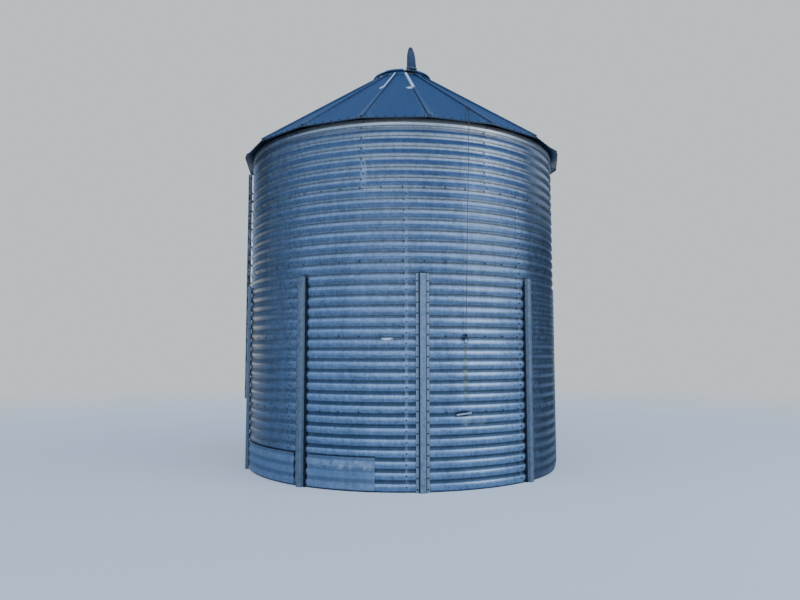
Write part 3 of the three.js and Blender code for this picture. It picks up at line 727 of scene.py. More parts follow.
class Nodes:
    """Adds nodes to one tree and links them."""

    def __init__(self, tree):
        self.tree = tree

    def add(self, kind, inputs=None, **settings):
        node = self.tree.nodes.new(kind)
        for name, value in settings.items():
            setattr(node, name, value)
        for key, value in (inputs or {}).items():
            self.feed(node.inputs[key], value)
        return node

    def feed(self, socket, value):
        if isinstance(value, Field):
            value = value.socket
        if isinstance(value, bpy.types.NodeSocket):
            self.tree.links.new(value, socket)
        elif socket.type == "VECTOR":
            socket.default_value = tuple(value)[:3]
        else:
            socket.default_value = value

    def math(self, operation, *values, clamp=False):
        node = self.add("ShaderNodeMath", operation=operation, use_clamp=clamp)
        for socket, value in zip(node.inputs, values):
            self.feed(socket, value)
        return Field(self, node.outputs[0])

    def split(self, vector):
        node = self.add("ShaderNodeSeparateXYZ", {"Vector": vector})
        return [Field(self, output) for output in node.outputs]

    def vector(self, x, y, z):
        return self.add("ShaderNodeCombineXYZ", {"X": x, "Y": y, "Z": z}).outputs[0]

    def ramp(self, value, low, high):
        """0 under low and 1 over high, with a smooth change between them; low may be the larger."""
        node = self.add(
            "ShaderNodeMapRange", {"Value": value, "From Min": low, "From Max": high},
            interpolation_type="SMOOTHSTEP",
        )
        return Field(self, node.outputs["Result"])

    def window(self, value, low_out, low_in, high_in, high_out):
        """Rises from 0 to 1 between the first two places and falls back between the last two."""
        return self.ramp(value, low_out, low_in) * self.ramp(value, high_out, high_in)

    def near(self, value, centre, outer, inner):
        """1 within the inner distance of a centre and 0 beyond the outer one."""
        return self.ramp(self.math("ABSOLUTE", value - centre), outer, inner)

    def mix(self, first, second, share):
        """Colours mixed by a share of the second."""
        node = self.add("ShaderNodeMix", data_type="RGBA")
        colours = [socket for socket in node.inputs if socket.type == "RGBA"]
        self.feed(node.inputs["Factor"], share)
        self.feed(colours[0], first)
        self.feed(colours[1], second)
        return next(socket for socket in node.outputs if socket.type == "RGBA")

    def scaled(self, tone, light):
        """A colour made lighter or darker by a number near 1."""
        node = self.add("ShaderNodeVectorMath", operation="SCALE")
        self.feed(node.inputs[0], tone)
        self.feed(node.inputs["Scale"], light)
        return node.outputs[0]

    def noise(self, vector, scale, detail=2, roughness=0.5):
        node = self.add(
            "ShaderNodeTexNoise",
            {"Vector": vector, "Scale": scale, "Detail": detail, "Roughness": roughness},
        )
        return Field(self, node.outputs[0])

    def crystals(self, vector, scale):
        """Cells with an even tone each."""
        node = self.add("ShaderNodeTexVoronoi", {"Vector": vector, "Scale": scale}, feature="F1")
        return self.split(node.outputs["Color"])[0]

    def relief(self, shader, height, strength, distance):
        node = self.add("ShaderNodeBump", {"Strength": strength, "Distance": distance, "Height": height})
        self.feed(shader.inputs["Normal"], node.outputs[0])

    def place(self):
        """Where a point of the object is, in metres."""
        return self.add("ShaderNodeTexCoord").outputs["Object"]

    def height(self):
        return self.split(self.place())[2]

    def across(self):
        """How far a point lies from the middle line of its stiffener or rib, in metres."""
        return Field(self, self.add("ShaderNodeAttribute", attribute_name="across").outputs["Fac"])

    def azimuth(self, x, y):
        """The azimuth of a direction, in degrees."""
        return self.math("ARCTAN2", x, y * -1.0) * (180 / math.pi)

    def input(self, name):
        groups = [n for n in self.tree.nodes if n.bl_idname == "NodeGroupInput"]
        node = groups[0] if groups else self.add("NodeGroupInput")
        return Field(self, node.outputs[name])

    def output(self, **values):
        node = self.add("NodeGroupOutput")
        for name, value in values.items():
            self.feed(node.inputs[name], value)

    def group(self, tree, **inputs):
        """Places a node group and returns its outputs by name."""
        node = self.add("ShaderNodeGroup", node_tree=tree)
        for name, value in inputs.items():
            self.feed(node.inputs[name], value)
        return {output.name: Field(self, output) for output in node.outputs}

    def bars(self, sides, radius, depth):
        """A round or many-sided bar along Z."""
        node = self.add("GeometryNodeMeshCylinder", {"Vertices": sides, "Radius": radius, "Depth": depth})
        return node.outputs["Mesh"]

    def copies(self, points, shape, rotation):
        """A shape set on each point."""
        inputs = {"Points": points, "Instance": shape, "Rotation": rotation}
        return self.add("GeometryNodeInstanceOnPoints", inputs).outputs[0]

    def row(self, count, first, step):
        """Points in a straight row."""
        inputs = {"Count": count, "Start Location": first, "Offset": step}
        return self.add("GeometryNodeMeshLine", inputs).outputs[0]

    def end_shape(self, geometry):
        """Ends a geometry tree: plain meshes with the finish on them."""
        real = self.add("GeometryNodeRealizeInstances", {"Geometry": geometry})
        done = self.add(
            "GeometryNodeSetMaterial", {"Geometry": real.outputs[0], "Material": self.input("Finish")}
        )
        self.output(Geometry=done.outputs[0])
        return self.tree


def new_tree(name, kind, inputs, outputs):
    """An empty node group with named sockets."""
    tree = bpy.data.node_groups.new(name, kind)
    for label, socket_type in inputs.items():
        tree.interface.new_socket(label, in_out="INPUT", socket_type=f"NodeSocket{socket_type}")
    for label, socket_type in outputs.items():
        tree.interface.new_socket(label, in_out="OUTPUT", socket_type=f"NodeSocket{socket_type}")
    return Nodes(tree)


def shape_tree(name, inputs):
    """An empty geometry tree; one of its inputs is the finish."""
    return new_tree(name, "GeometryNodeTree", {**inputs, "Finish": "Material"}, {"Geometry": "Geometry"})


def effect(name, inputs, outputs):
    """An empty shader node group whose sockets are plain numbers."""
    return new_tree(name, "ShaderNodeTree", dict.fromkeys(inputs, "Float"), dict.fromkeys(outputs, "Float"))


def grown(tree, thickness=0, **values):
    """The plain mesh that a geometry tree makes with the given inputs."""
    shape = bpy.data.objects.new("shape", bpy.data.meshes.new("shape"))
    bpy.context.scene.collection.objects.link(shape)
    modifier = shape.modifiers.new("shape", "NODES")
    modifier.node_group = tree
    for item in tree.interface.items_tree:
        if item.item_type == "SOCKET" and item.in_out == "INPUT":
            modifier[item.identifier] = values[item.name.lower().replace(" ", "_")]
    if thickness:
        solid = shape.modifiers.new("sheet", "SOLIDIFY")
        solid.thickness = thickness
        solid.offset = -1
    graph = bpy.context.evaluated_depsgraph_get()
    mesh = bpy.data.meshes.new_from_object(shape.evaluated_get(graph))
    bpy.data.objects.remove(shape)
    return mesh


@cache
def sheet_tree():
    """One corrugated sheet, bent round the axis, that laps over its right and lower neighbours."""
    inputs = [
        "Crest Radius", "Depth", "Pitch", "Base", "Rise", "End Lap", "Azimuth", "Span", "Side Lap", "Step",
    ]
    nodes = shape_tree("corrugated_sheet", dict.fromkeys(inputs, "Float"))
    grid = nodes.add(
        "GeometryNodeMeshGrid",
        {"Size X": 1.0, "Size Y": 1.0, "Vertices X": SHEET_COLUMNS, "Vertices Y": SHEET_ROWS},
    )
    x, y, _ = nodes.split(nodes.add("GeometryNodeInputPosition").outputs[0])
    start = nodes.input("Azimuth")
    span = nodes.input("Span")
    base = nodes.input("Base")
    end_lap = nodes.input("End Lap")
    depth = nodes.input("Depth")
    azimuth = start + (x + 0.5) * (span + nodes.input("Side Lap"))
    height = base - end_lap + (y + 0.5) * (nodes.input("Rise") + end_lap)
    turn = height / nodes.input("Pitch") * (2 * math.pi)
    wave = (0.5 - nodes.math("COSINE", turn) * 0.5) ** WAVE_FULLNESS
    side = nodes.ramp(azimuth, start + span - SIDE_RAMP, start + span)
    end = nodes.ramp(height, base + END_RAMP, base)
    outwards = nodes.input("Step") * (side + end - 2.0)
    radius = nodes.input("Crest Radius") - depth + wave * depth + outwards
    angle = nodes.math("RADIANS", azimuth)
    sine = nodes.math("SINE", angle)
    cosine = nodes.math("COSINE", angle)
    place = nodes.vector(radius * sine, radius * cosine * -1.0, height)
    moved = nodes.add("GeometryNodeSetPosition", {"Geometry": grid.outputs["Mesh"], "Position": place})
    return nodes.end_shape(moved.outputs[0])


@cache
def bolt_tree():
    """A straight row of hex bolts with washers, repeated by turns round the silo's axis."""
    nodes = shape_tree("bolt_rows", {
        "First": "Vector", "Step": "Vector", "Count": "Int", "Facing": "Vector", "Turns": "Int",
        "Turn Step": "Float", "Head": "Float", "Washer": "Float", "Seed": "Int",
    })
    head = nodes.bars(6, nodes.input("Head"), HEAD_HEIGHT)
    lifted = nodes.add(
        "GeometryNodeTransform", {"Geometry": head, "Translation": (0, 0, (HEAD_HEIGHT + WASHER_HEIGHT) / 2)}
    )
    bolt = nodes.add("GeometryNodeJoinGeometry")
    nodes.feed(bolt.inputs[0], nodes.bars(12, nodes.input("Washer"), WASHER_HEIGHT))
    nodes.feed(bolt.inputs[0], lifted.outputs[0])
    index = Field(nodes, nodes.add("GeometryNodeInputIndex").outputs[0])
    spin = nodes.add(
        "FunctionNodeRandomValue", {"Min": 0.0, "Max": math.pi / 3, "ID": index, "Seed": nodes.input("Seed")},
        data_type="FLOAT",
    )
    facing = nodes.add("FunctionNodeAlignRotationToVector", {"Vector": nodes.input("Facing")}, axis="Z")
    spun = nodes.vector(0.0, 0.0, Field(nodes, spin.outputs[1]))
    turned = nodes.add(
        "FunctionNodeRotateRotation", {"Rotation": facing.outputs[0], "Rotate By": spun},
        rotation_space="LOCAL",
    )
    places = nodes.row(nodes.input("Count"), nodes.input("First"), nodes.input("Step"))
    bolts = nodes.copies(places, bolt.outputs[0], turned.outputs[0])
    angle = nodes.math("RADIANS", index * nodes.input("Turn Step"))
    centres = nodes.row(nodes.input("Turns"), (0, 0, 0), (0, 0, 0))
    return nodes.end_shape(nodes.copies(centres, bolts, nodes.vector(0.0, 0.0, angle)))


@cache
def rung_tree():
    """Level round bars one above the other."""
    nodes = shape_tree(
        "rungs", {"First": "Vector", "Rise": "Float", "Count": "Int", "Length": "Float", "Radius": "Float"}
    )
    bar = nodes.bars(20, nodes.input("Radius"), nodes.input("Length"))
    rise = nodes.vector(0.0, 0.0, nodes.input("Rise"))
    places = nodes.row(nodes.input("Count"), nodes.input("First"), rise)
    return nodes.end_shape(nodes.copies(places, bar, (math.pi / 2, 0, 0)))


# Finishes: effects that several of them share are node groups

# Turns added before a fraction is taken, so that it isn't taken of a number below 0
WHOLE_TURNS = 20.0

# Where the wall's tone changes, by azimuth and then by height: a pair runs from none to full, and four
# values rise over the first two and fall over the last two. The painted bands fade to an even tone at the sides,
# painted shade falls on the right side and high on the left, a painted sun glint lies on the bends high on the
# right and a painted warm reflection low on the left
PLAIN_LEFT = (-24, -44)
PLAIN_HIGH_LEFT = (14, -28)
PLAIN_RIGHT = (42, 50, 100, 150)
PLAIN_BACK = (100, 150)
SHADED_HIGH_LEFT = (-50, -56, -64, -70)
SUNLIT_RIGHT = (44, 62, 66, 96)
WARM_REFLECTION_LEFT = (-50, -66, -70, -110)
SUNLIT_HEIGHTS = (2.9, 3.9)
WARM_REFLECTION_HEIGHTS = (2.4, 1)

# Under the wall's top: painted highlights on two bends (depth, outer and inner half width), a band of painted
# warm reflected light and the painted shadow of the eave
UPPER_BEND = (0.0855, 0.018, 0.006)
LOWER_BEND = (0.1445, 0.02, 0.01)
REFLECTED_LIGHT_STRIP = (0.0745, 0.0545)
EAVE_SHADOW = (0.0305, 0.0245)

# Patches: azimuth, height, half angle and half height
ROPE_STREAK = (19.6, 1.3, 0.8, 0.36)
KNOT_STAIN = (19.6, 1.56, 0.7, 0.06)
BARE_DENT = (-4.6, 1.692, 1.7, 0.014)
DENT_SHADE = (-2.7, 1.684, 1.2, 0.01)
CLEAT_SHADE = (18.75, 0.852, 2.4, 0.045)
SEAM_SCUFF = (1.15, 1.7, 0.5, 1.75)
CLEAT_SCUFFS = ((19.6, 0.77, 2.0, 0.05), (24.5, 0.76, 2.4, 0.04))
HIGH_SCUFFS = ((-12.2, 3.6, 1.1, 0.18), (-9.8, 3.405, 3.2, 0.01))
# Painted glints on two roof panels near the peak and on the lid
ROOF_GLINTS = ((-14.4, 5.06, 2.3, 0.045), (5.4, 5.02, 2.6, 0.035))
LID_GLINTS = ((-54.0, 5.534, 8.0, 0.014), (8.0, 5.577, 6.0, 0.02))

# The painted highlight on the lid's rim: its middle azimuth, outer and inner half angle
LID_RIM_GLINT = (-66.0, 36, 28)
# Heights between which the two front ribs get painted glints, and the strips' band of pale patches
RIB_GLINT_HEIGHTS = (4.98, 5.03)
PALE_PATCH_BAND = (0.22, 0.26, 0.32, 0.35)


def spangle_group():
    """Crystals of zinc in two sizes, and broad soft clouds."""
    nodes = effect("zinc_spangle", ["Scale"], ["Tone", "Cloud"])
    place = nodes.place()
    scale = nodes.input("Scale")
    coarse = nodes.crystals(place, scale)
    fine = nodes.crystals(place, scale * 2.7)
    nodes.output(Tone=coarse * 0.6 + fine * 0.4, Cloud=nodes.noise(place, 1.7, 4, 0.6))
    return nodes.tree


def streak_group():
    """Streaks that run down the wall or down the roof, from rain, and the azimuth they lie at."""
    nodes = effect("rain_streaks", ["Count", "Length"], ["Streak", "Azimuth"])
    x, y, z = nodes.split(nodes.place())
    away = nodes.math("SQRT", x * x + y * y)
    down = z / nodes.input("Length")
    count = nodes.input("Count")
    fine = nodes.noise(nodes.vector(x / away * count, y / away * count, down), 1.0, 3, 0.6)
    count = count * 0.22
    broad = nodes.noise(nodes.vector(x / away * count, y / away * count, down * 0.6 + 4.0), 1.0, 2, 0.5)
    nodes.output(Streak=nodes.ramp(fine * 0.55 + broad * 0.45, 0.38, 0.66), Azimuth=nodes.azimuth(x, y))
    return nodes.tree


def band_group():
    """The corrugations' masks for their painted bands: grooves of painted shade and crests of painted sky reflection,
    whose width changes on the way up.

    A phase is a share of one corrugation, 0 in a groove and 0.5 on the crest over it. The climb is 0 up to
    0.9 m and 1 from 3.9 m.
    """
    nodes = effect("corrugation_bands", ["Pitch"], ["Groove", "Crest", "Glint", "Climb", "Height"])
    height = nodes.height()
    climb = nodes.math("MULTIPLY_ADD", height, 1 / 3.0, -0.3, clamp=True)
    turns = height / nodes.input("Pitch") + WHOLE_TURNS
    phase = nodes.math("FRACT", turns)
    low_phase = nodes.math("FRACT", turns + (0.05 - climb * 0.16))
    off_groove = nodes.math("MINIMUM", low_phase, 1.0 - low_phase)
    off_crest = nodes.math("ABSOLUTE", phase - (climb ** 3.0 * 0.24 + 0.38))
    groove = nodes.ramp(off_groove, 0.27 - climb * 0.18, 0.11 - climb * 0.08)
    nodes.output(
        Groove=groove * (1.0 - climb * 0.3),
        Crest=nodes.ramp(off_crest, 0.31, 0.1 + climb * 0.06),
        # Glint: a painted highlight on the upper bend of the lower rings
        Glint=nodes.near(phase, 0.7, 0.09, 0.01) * (1.0 - climb),
        Climb=climb,
        Height=height,
    )
    return nodes.tree


def spot_group():
    """A ragged patch at one place on the wall, from an azimuth, a height and its two half sizes."""
    places = ["Azimuth", "Height", "At Azimuth", "At Height", "Half Angle", "Half Height"]
    nodes = effect("wall_patch", places, ["Patch"])
    across = (nodes.input("Azimuth") - nodes.input("At Azimuth")) / nodes.input("Half Angle")
    up = (nodes.input("Height") - nodes.input("At Height")) / nodes.input("Half Height")
    distance = nodes.math("SQRT", across * across + up * up)
    ragged = distance + nodes.noise(nodes.place(), 45, 3, 0.6) * 1.1
    nodes.output(Patch=nodes.ramp(ragged, 1.75, 1.15))
    return nodes.tree


def sheen_and_wear_group():
    """Sharp edges painted pale, as a painted highlight and as rubbed zinc, and small blooms of rust."""
    nodes = effect("edge_wear", [], ["Edge", "Rust"])
    place = nodes.place()
    sharpness = Field(nodes, nodes.add("ShaderNodeNewGeometry").outputs["Pointiness"])
    broken = nodes.ramp(nodes.noise(place, 18, 3, 0.6), 0.35, 0.6)
    rust = nodes.ramp(nodes.noise(place, 7, 4, 0.7), 0.6, 0.72)
    nodes.output(Edge=nodes.ramp(sharpness, 0.52, 0.6) * broken, Rust=rust)
    return nodes.tree


class Finishes:
    """The silo's materials, made once and handed out by name."""

    def __init__(self, silo):
        self.silo = silo
        self.colours = silo.colours
        self.pitch = silo.wall.ring_height / silo.wall.corrugations
        self.spangle = spangle_group()
        self.streaks = streak_group()
        self.bands = band_group()
        self.spot = spot_group()
        self.sheen_and_wear = sheen_and_wear_group()
        self.made = {**self.sheet_finishes(), **self.small_finishes()}

    def __getitem__(self, name):
        return self.made[name]

    def sheet_finishes(self):
        colours = self.colours
        roof = {"spangle": 55, "contrast": 0.5, "streaks": 26, "streak_length": 1.1}
        return {
            "wall": self.wall(),
            "roof": self.zinc("roof_sheet", colours.roof, 0.5, **roof, detail=self.roof_detail),
            "rib": self.zinc("roof_rib", colours.roof, 0.46, **roof, detail=self.rib_detail),
            "lid": self.zinc("lid_sheet", colours.roof, 0.42, **roof, detail=self.lid_detail),
            "stiffener": self.zinc(
                "stiffener_zinc", colours.stiffener, 0.5, spangle=40, contrast=0.35, streaks=40,
                streak_length=0.7, detail=self.stiffener_detail,
            ),
            "strip": self.zinc(
                "strip_zinc", colours.strip, 0.42, spangle=60, contrast=0.7, streaks=30,
                streak_length=0.25, detail=self.strip_detail,
            ),
            "floor": self.zinc(
                "floor_zinc", colours.floor, 0.55, spangle=30, contrast=0.6, streaks=20, streak_length=0.6
            ),
        }

    def small_finishes(self):
        colours = self.colours
        bar = {"spangle": 70, "streaks": 30}
        small = {"spangle": 120, "streaks": 60, "streak_length": 0.2}
        return {
            "fitting": self.zinc(
                "fitting_steel", colours.fitting, 0.5, **bar, contrast=0.4, streak_length=0.4
            ),
            "hinge": self.zinc("hinge_steel", colours.hinge, 0.6, **bar, contrast=0.6, streak_length=0.4),
            "ladder": self.zinc(
                "ladder_steel", colours.ladder, 0.52, **bar, contrast=0.4, streak_length=0.5
            ),
            "bolt": self.zinc(
                "bolt_zinc", colours.bolt, 0.5, **small, contrast=0.6, detail=self.bolt_detail, worn=0.1
            ),
            "dark_bolt": self.zinc(
                "dark_bolt_zinc", colours.dark_bolt, 0.6, **small, contrast=0.6, worn=0.05
            ),
            "cleat": self.zinc("cleat_zinc", colours.shoulder_high, 0.4, **small, contrast=0.5),
            "rope": self.rope("rope_fibre", colours.rope),
            "knot": self.rope("knot_fibre", colours.knot),
        }

    def start(self, name, roughness, metallic):
        material = bpy.data.materials.new(name)
        material.use_nodes = True
        shader = material.node_tree.nodes["Principled BSDF"]
        shader.inputs["Metallic"].default_value = metallic
        shader.inputs["Roughness"].default_value = roughness
        return material, Nodes(material.node_tree), shader

    def wall(self):
        """The corrugated sheets: painted bands of reflection and shade that fade to an even tone away from the front,
        with painted shade on the right side and high on the left.
        """
        colours = self.colours
        material, nodes, shader = self.start("wall_zinc", 0.36, 0.8)
        bands = nodes.group(self.bands, Pitch=self.pitch)
        streaks = nodes.group(self.streaks, Count=34.0, Length=0.9)
        grain = nodes.group(self.streaks, Count=150.0, Length=0.1)
        zinc = nodes.group(self.spangle, Scale=38.0)
        climb = bands["Climb"]
        height = bands["Height"]
        azimuth = streaks["Azimuth"]
        # Shares of the even side tone that replace the painted bands away from the front
        left = (nodes.ramp(azimuth, *PLAIN_LEFT) + nodes.ramp(azimuth, *PLAIN_BACK)) * 0.8
        high_left = climb * nodes.ramp(azimuth, *PLAIN_HIGH_LEFT) * 0.5
        right = nodes.window(azimuth, *PLAIN_RIGHT)
        even = nodes.math("MAXIMUM", left, high_left) + right * (0.75 - climb * 0.35)
        tone = nodes.mix(self.banded(nodes, bands), colours.plain, even)
        dirt = nodes.ramp(zinc["Cloud"], 0.5, 0.75) * bands["Groove"] * 0.3
        tone = nodes.mix(tone, colours.grime, dirt)
        light = (streaks["Streak"] - 0.5) * 0.12 + (zinc["Tone"] - 0.5) * 0.5 + (zinc["Cloud"] - 0.5) * 0.5
        light = light + (grain["Streak"] - 0.5) * 0.2 + 1.0
        # Painted shade on the right side, less of it high up, and high on the left
        light = light - right * (0.4 - climb * 0.26)
        light = light - nodes.window(azimuth, *SHADED_HIGH_LEFT) * climb * 0.35
        tone = nodes.scaled(tone, light)
        tone = nodes.mix(tone, colours.scuff_and_sheen, self.lap_wear(nodes, azimuth, height) * 0.14)
        tone = self.painted_side_light(nodes, tone, bands, azimuth)
        tone = self.under_eave(nodes, tone, height, 1.0 - left)
        for spot, spot_colour, share in self.wall_marks():
            tone = nodes.mix(tone, spot_colour, self.patch(nodes, azimuth, height, spot) * share)
        nodes.feed(shader.inputs["Base Color"], tone)
        nodes.feed(shader.inputs["Roughness"], zinc["Tone"] * 0.16 + bands["Groove"] * 0.1 + 0.28)
        nodes.relief(shader, zinc["Tone"] * 0.5 + zinc["Cloud"], 0.25, 0.002)
        return material

    def banded(self, nodes, bands):
        """The corrugations' painted bands: pale bends and blue crests stand for the sky's reflection, dark grooves for
        shade with some dirt; they change on the way up.
        """
        colours = self.colours
        climb = bands["Climb"]
        shoulder = nodes.mix(colours.shoulder_low, colours.shoulder_high, climb)
        crest = nodes.mix(colours.crest_low, colours.crest_high, climb)
        groove = nodes.mix(colours.groove_low, colours.groove_high, climb)
        tone = nodes.mix(shoulder, crest, bands["Crest"])
        # Painted highlight on the upper bends of the lower rings
        tone = nodes.mix(tone, colours.scuff_and_sheen, bands["Glint"] * 0.2)
        return nodes.mix(tone, groove, bands["Groove"])

    def painted_side_light(self, nodes, tone, bands, azimuth):
        """A painted sun glint on the bends high on the right, and a painted warm reflection of the ground low on the
        left.
        """
        height = bands["Height"]
        sunlit = nodes.window(azimuth, *SUNLIT_RIGHT) * nodes.ramp(height, *SUNLIT_HEIGHTS)
        tone = nodes.mix(tone, self.colours.glint, sunlit * (bands["Crest"] * 0.8 + 0.04))
        warm_reflection = nodes.window(azimuth, *WARM_REFLECTION_LEFT) * nodes.ramp(height, *WARM_REFLECTION_HEIGHTS)
        return nodes.mix(tone, self.colours.warm_reflection, warm_reflection * 0.22)

    def under_eave(self, nodes, tone, height, open_side):
        """The wall's top: painted highlights on two bends, a band of painted warm reflected light over them, and the
        painted shadow of the eave.
        """
        colours = self.colours
        down = self.silo.wall.ring_height * RINGS - height
        lit = nodes.near(down, *UPPER_BEND) + nodes.near(down, *LOWER_BEND) * 1.8
        tone = nodes.mix(tone, colours.glint, lit * open_side * 0.4)
        tone = nodes.mix(tone, colours.warm_reflection, nodes.ramp(down, *REFLECTED_LIGHT_STRIP) * (open_side * 0.7 + 0.1))
        return nodes.mix(tone, colours.eave, nodes.ramp(down, *EAVE_SHADOW))

    def lap_wear(self, nodes, azimuth, height):
        """Pale scratches beside the upright laps, whose places differ in the top ring."""
        wall = self.silo.wall
        top = nodes.math("GREATER_THAN", height, wall.ring_height * (RINGS - 1))
        turns = (azimuth - (top * wall.top_seam + 1.2)) / SHEET_SPAN + (WHOLE_TURNS + 0.5)
        away = nodes.math("ABSOLUTE", nodes.math("FRACT", turns) - 0.5) * SHEET_SPAN
        speckle = nodes.ramp(nodes.noise(nodes.place(), 70, 3, 0.7), 0.42, 0.58)
        return nodes.ramp(away, 0.9, 0.25) * speckle

    def wall_marks(self):
        """The wall's marks from the lowest layer to the top one: a patch, its colour and its share."""
        colours = self.colours
        return [
            (ROPE_STREAK, colours.moss, 0.55),
            (KNOT_STAIN, colours.grime, 0.45),
            (BARE_DENT, colours.glint, 0.75),
            (CLEAT_SHADE, colours.eave, 0.75),
            (SEAM_SCUFF, colours.scuff_and_sheen, 0.14),
            (DENT_SHADE, colours.grime, 0.5),
            (CLEAT_SCUFFS[0], colours.scuff_and_sheen, 0.28),
            (CLEAT_SCUFFS[1], colours.scuff_and_sheen, 0.15),
            (HIGH_SCUFFS[0], colours.scuff_and_sheen, 0.2),
            (HIGH_SCUFFS[1], colours.scuff_and_sheen, 0.35),
        ]

    def patch(self, nodes, azimuth, height, spot):
        names = ("At Azimuth", "At Height", "Half Angle", "Half Height")
        return nodes.group(self.spot, Azimuth=azimuth, Height=height, **dict(zip(names, spot)))["Patch"]

    def two_patches(self, nodes, azimuth, height, spots):
        first, second = (self.patch(nodes, azimuth, height, spot) for spot in spots)
        return first + second

    def zinc(self, name, base, roughness, spangle, contrast, streaks, streak_length, detail=None, worn=0.45):
        """Weathered zinc on a plain sheet, with pale edges that are partly a painted highlight; a further effect of
        one piece's own may change its tone, and its painted glints are made non-metallic.
        """
        colours = self.colours
        metal = 0.6
        material, nodes, shader = self.start(name, roughness, metal)
        rain = nodes.group(self.streaks, Count=float(streaks), Length=streak_length)
        crystals = nodes.group(self.spangle, Scale=float(spangle))
        sheen_and_wear = nodes.group(self.sheen_and_wear)
        light = (rain["Streak"] - 0.5) * 0.24 * contrast + (crystals["Tone"] - 0.5) * 0.4 * contrast + 1.0
        tone = nodes.scaled(base, light)
        tone = nodes.mix(tone, colours.grime, nodes.ramp(crystals["Cloud"], 0.55, 0.8) * 0.3)
        tone = nodes.mix(tone, colours.rust, sheen_and_wear["Rust"] * contrast * 0.5)
        # Sharp edges painted pale: a painted highlight and rubbed zinc
        tone = nodes.mix(tone, colours.shoulder_high, sheen_and_wear["Edge"] * worn)
        if detail:
            tone, bare = detail(nodes, tone, rain["Azimuth"])
            # The detail's painted glints are made non-metallic
            if bare:
                nodes.feed(shader.inputs["Metallic"], metal - bare * metal)
        nodes.feed(shader.inputs["Base Color"], tone)
        nodes.feed(shader.inputs["Roughness"], crystals["Tone"] * 0.14 + (roughness - 0.07))
        nodes.relief(shader, crystals["Cloud"] + crystals["Tone"] * 0.4, 0.2, 0.0015)
        return material

    def roof_detail(self, nodes, tone, azimuth):
        """Roof sheets: a faint painted highlight along the eave, painted shade on the turned lip, darker at its foot,
        and two painted glints near the peak.
        """
        colours = self.colours
        height = nodes.height()
        over_eave = height - self.silo.roof.eave_height
        # Faint painted highlight along the eave, then painted shade on the turned lip
        tone = nodes.mix(tone, colours.shoulder_high, nodes.ramp(over_eave, 0.035, 0.01) * 0.1)
        tone = nodes.mix(tone, colours.eave, nodes.ramp(over_eave, 0.0095, 0.0075) * 0.8)
        tone = nodes.mix(tone, colours.eave, nodes.ramp(over_eave, -0.002, -0.006))
        glints = self.two_patches(nodes, azimuth, height, ROOF_GLINTS)
        return nodes.mix(tone, colours.glint, glints * 0.9), glints

    def rib_detail(self, nodes, tone, azimuth):
        """Ribs: a faint painted highlight on the crown, painted shade on the sides and at the eave ends, and painted
        glints near the peak on the two in front.
        """
        colours = self.colours
        roof = self.silo.roof
        crown = roof.rib_top / 2
        height = nodes.height()
        across = nodes.across()
        side = nodes.math("ABSOLUTE", across)
        # Faint painted highlight on the crown, then painted shade on the sides
        tone = nodes.mix(tone, colours.shoulder_high, nodes.ramp(side, crown - 0.001, crown - 0.005) * 0.12)
        tone = nodes.mix(tone, colours.eave, nodes.ramp(side, crown - 0.001, crown + 0.003) * 0.6)
        front = nodes.near(azimuth, roof.rib_azimuth - HALF_PANEL, 1.5 * HALF_PANEL, 1.2 * HALF_PANEL)
        # Painted glints near the peak on the two front ribs
        bare = nodes.ramp(height, *RIB_GLINT_HEIGHTS) * nodes.ramp(across, 0.008, 0.002) * front
        tone = nodes.mix(tone, colours.glint, bare)
        # Painted shade at the eave ends
        over_eave = height - roof.eave_height
        return nodes.mix(tone, colours.eave, nodes.ramp(over_eave, 0.045, 0.02) * 0.85), bare

    def lid_detail(self, nodes, tone, azimuth):
        """The lid and its collar: a painted highlight on the rim on the left, and two painted glints."""
        height = nodes.height()
        over_rim = height - self.silo.lid.rim_height
        # Painted highlight on the rim on the left and two painted glints
        bare = nodes.near(azimuth, *LID_RIM_GLINT) * nodes.ramp(over_rim, -0.016, -0.01)
        bare = bare + self.two_patches(nodes, azimuth, height, LID_GLINTS)
        bare = bare * nodes.ramp(over_rim, 0.004, 0.001)
        return nodes.mix(tone, self.colours.glint, bare), bare

    def stiffener_detail(self, nodes, tone, azimuth):
        """Stiffeners: painted shade on the webs and painted highlights on the flanges; those at the sides are painted
        darker overall, with painted shade on the flange that faces the front instead, and all have a painted shadow
        along the flanges' outer edges.
        """
        colours = self.colours
        sizes = self.silo.stiffener
        crown = sizes.crown / 2
        foot = crown + sizes.flare
        edge = sizes.width / 2
        place = nodes.across()
        across = nodes.math("ABSOLUTE", place)
        aside = nodes.window(nodes.math("ABSOLUTE", azimuth), 15, 30, 80, 100)
        # Painted highlight on the flanges of the stiffeners in front
        flange = nodes.ramp(across, foot + 0.0025, foot + 0.0065)
        tone = nodes.mix(tone, colours.shoulder_high, flange * (1.0 - aside) * 0.35)
        web = nodes.window(across, crown - 0.001, crown + 0.0015, foot + 0.0005, foot + 0.0045)
        tone = nodes.mix(tone, colours.web, web * (0.95 - aside * 0.75))
        # Painted shade on the flange that faces the front, on the stiffeners at the sides
        inner = nodes.ramp(place * nodes.math("SIGN", azimuth), -foot - 0.0015, -foot - 0.0065)
        tone = nodes.mix(tone, colours.dark_bolt, inner * aside)
        tone = nodes.scaled(tone, 1.0 - aside * 0.25)
        # Painted shadow along the flanges' outer edges
        return nodes.mix(tone, colours.web, nodes.ramp(across, edge - 0.004, edge - 0.001) * 0.9), None

    def strip_detail(self, nodes, tone, azimuth):
        """Strips: a painted shadow under the top edge, painted shade where they span a groove, and pale ragged
        patches.
        """
        colours = self.colours
        height = nodes.height()
        phase = nodes.math("FRACT", height / self.pitch + WHOLE_TURNS)
        off_groove = nodes.math("MINIMUM", phase, 1.0 - phase)
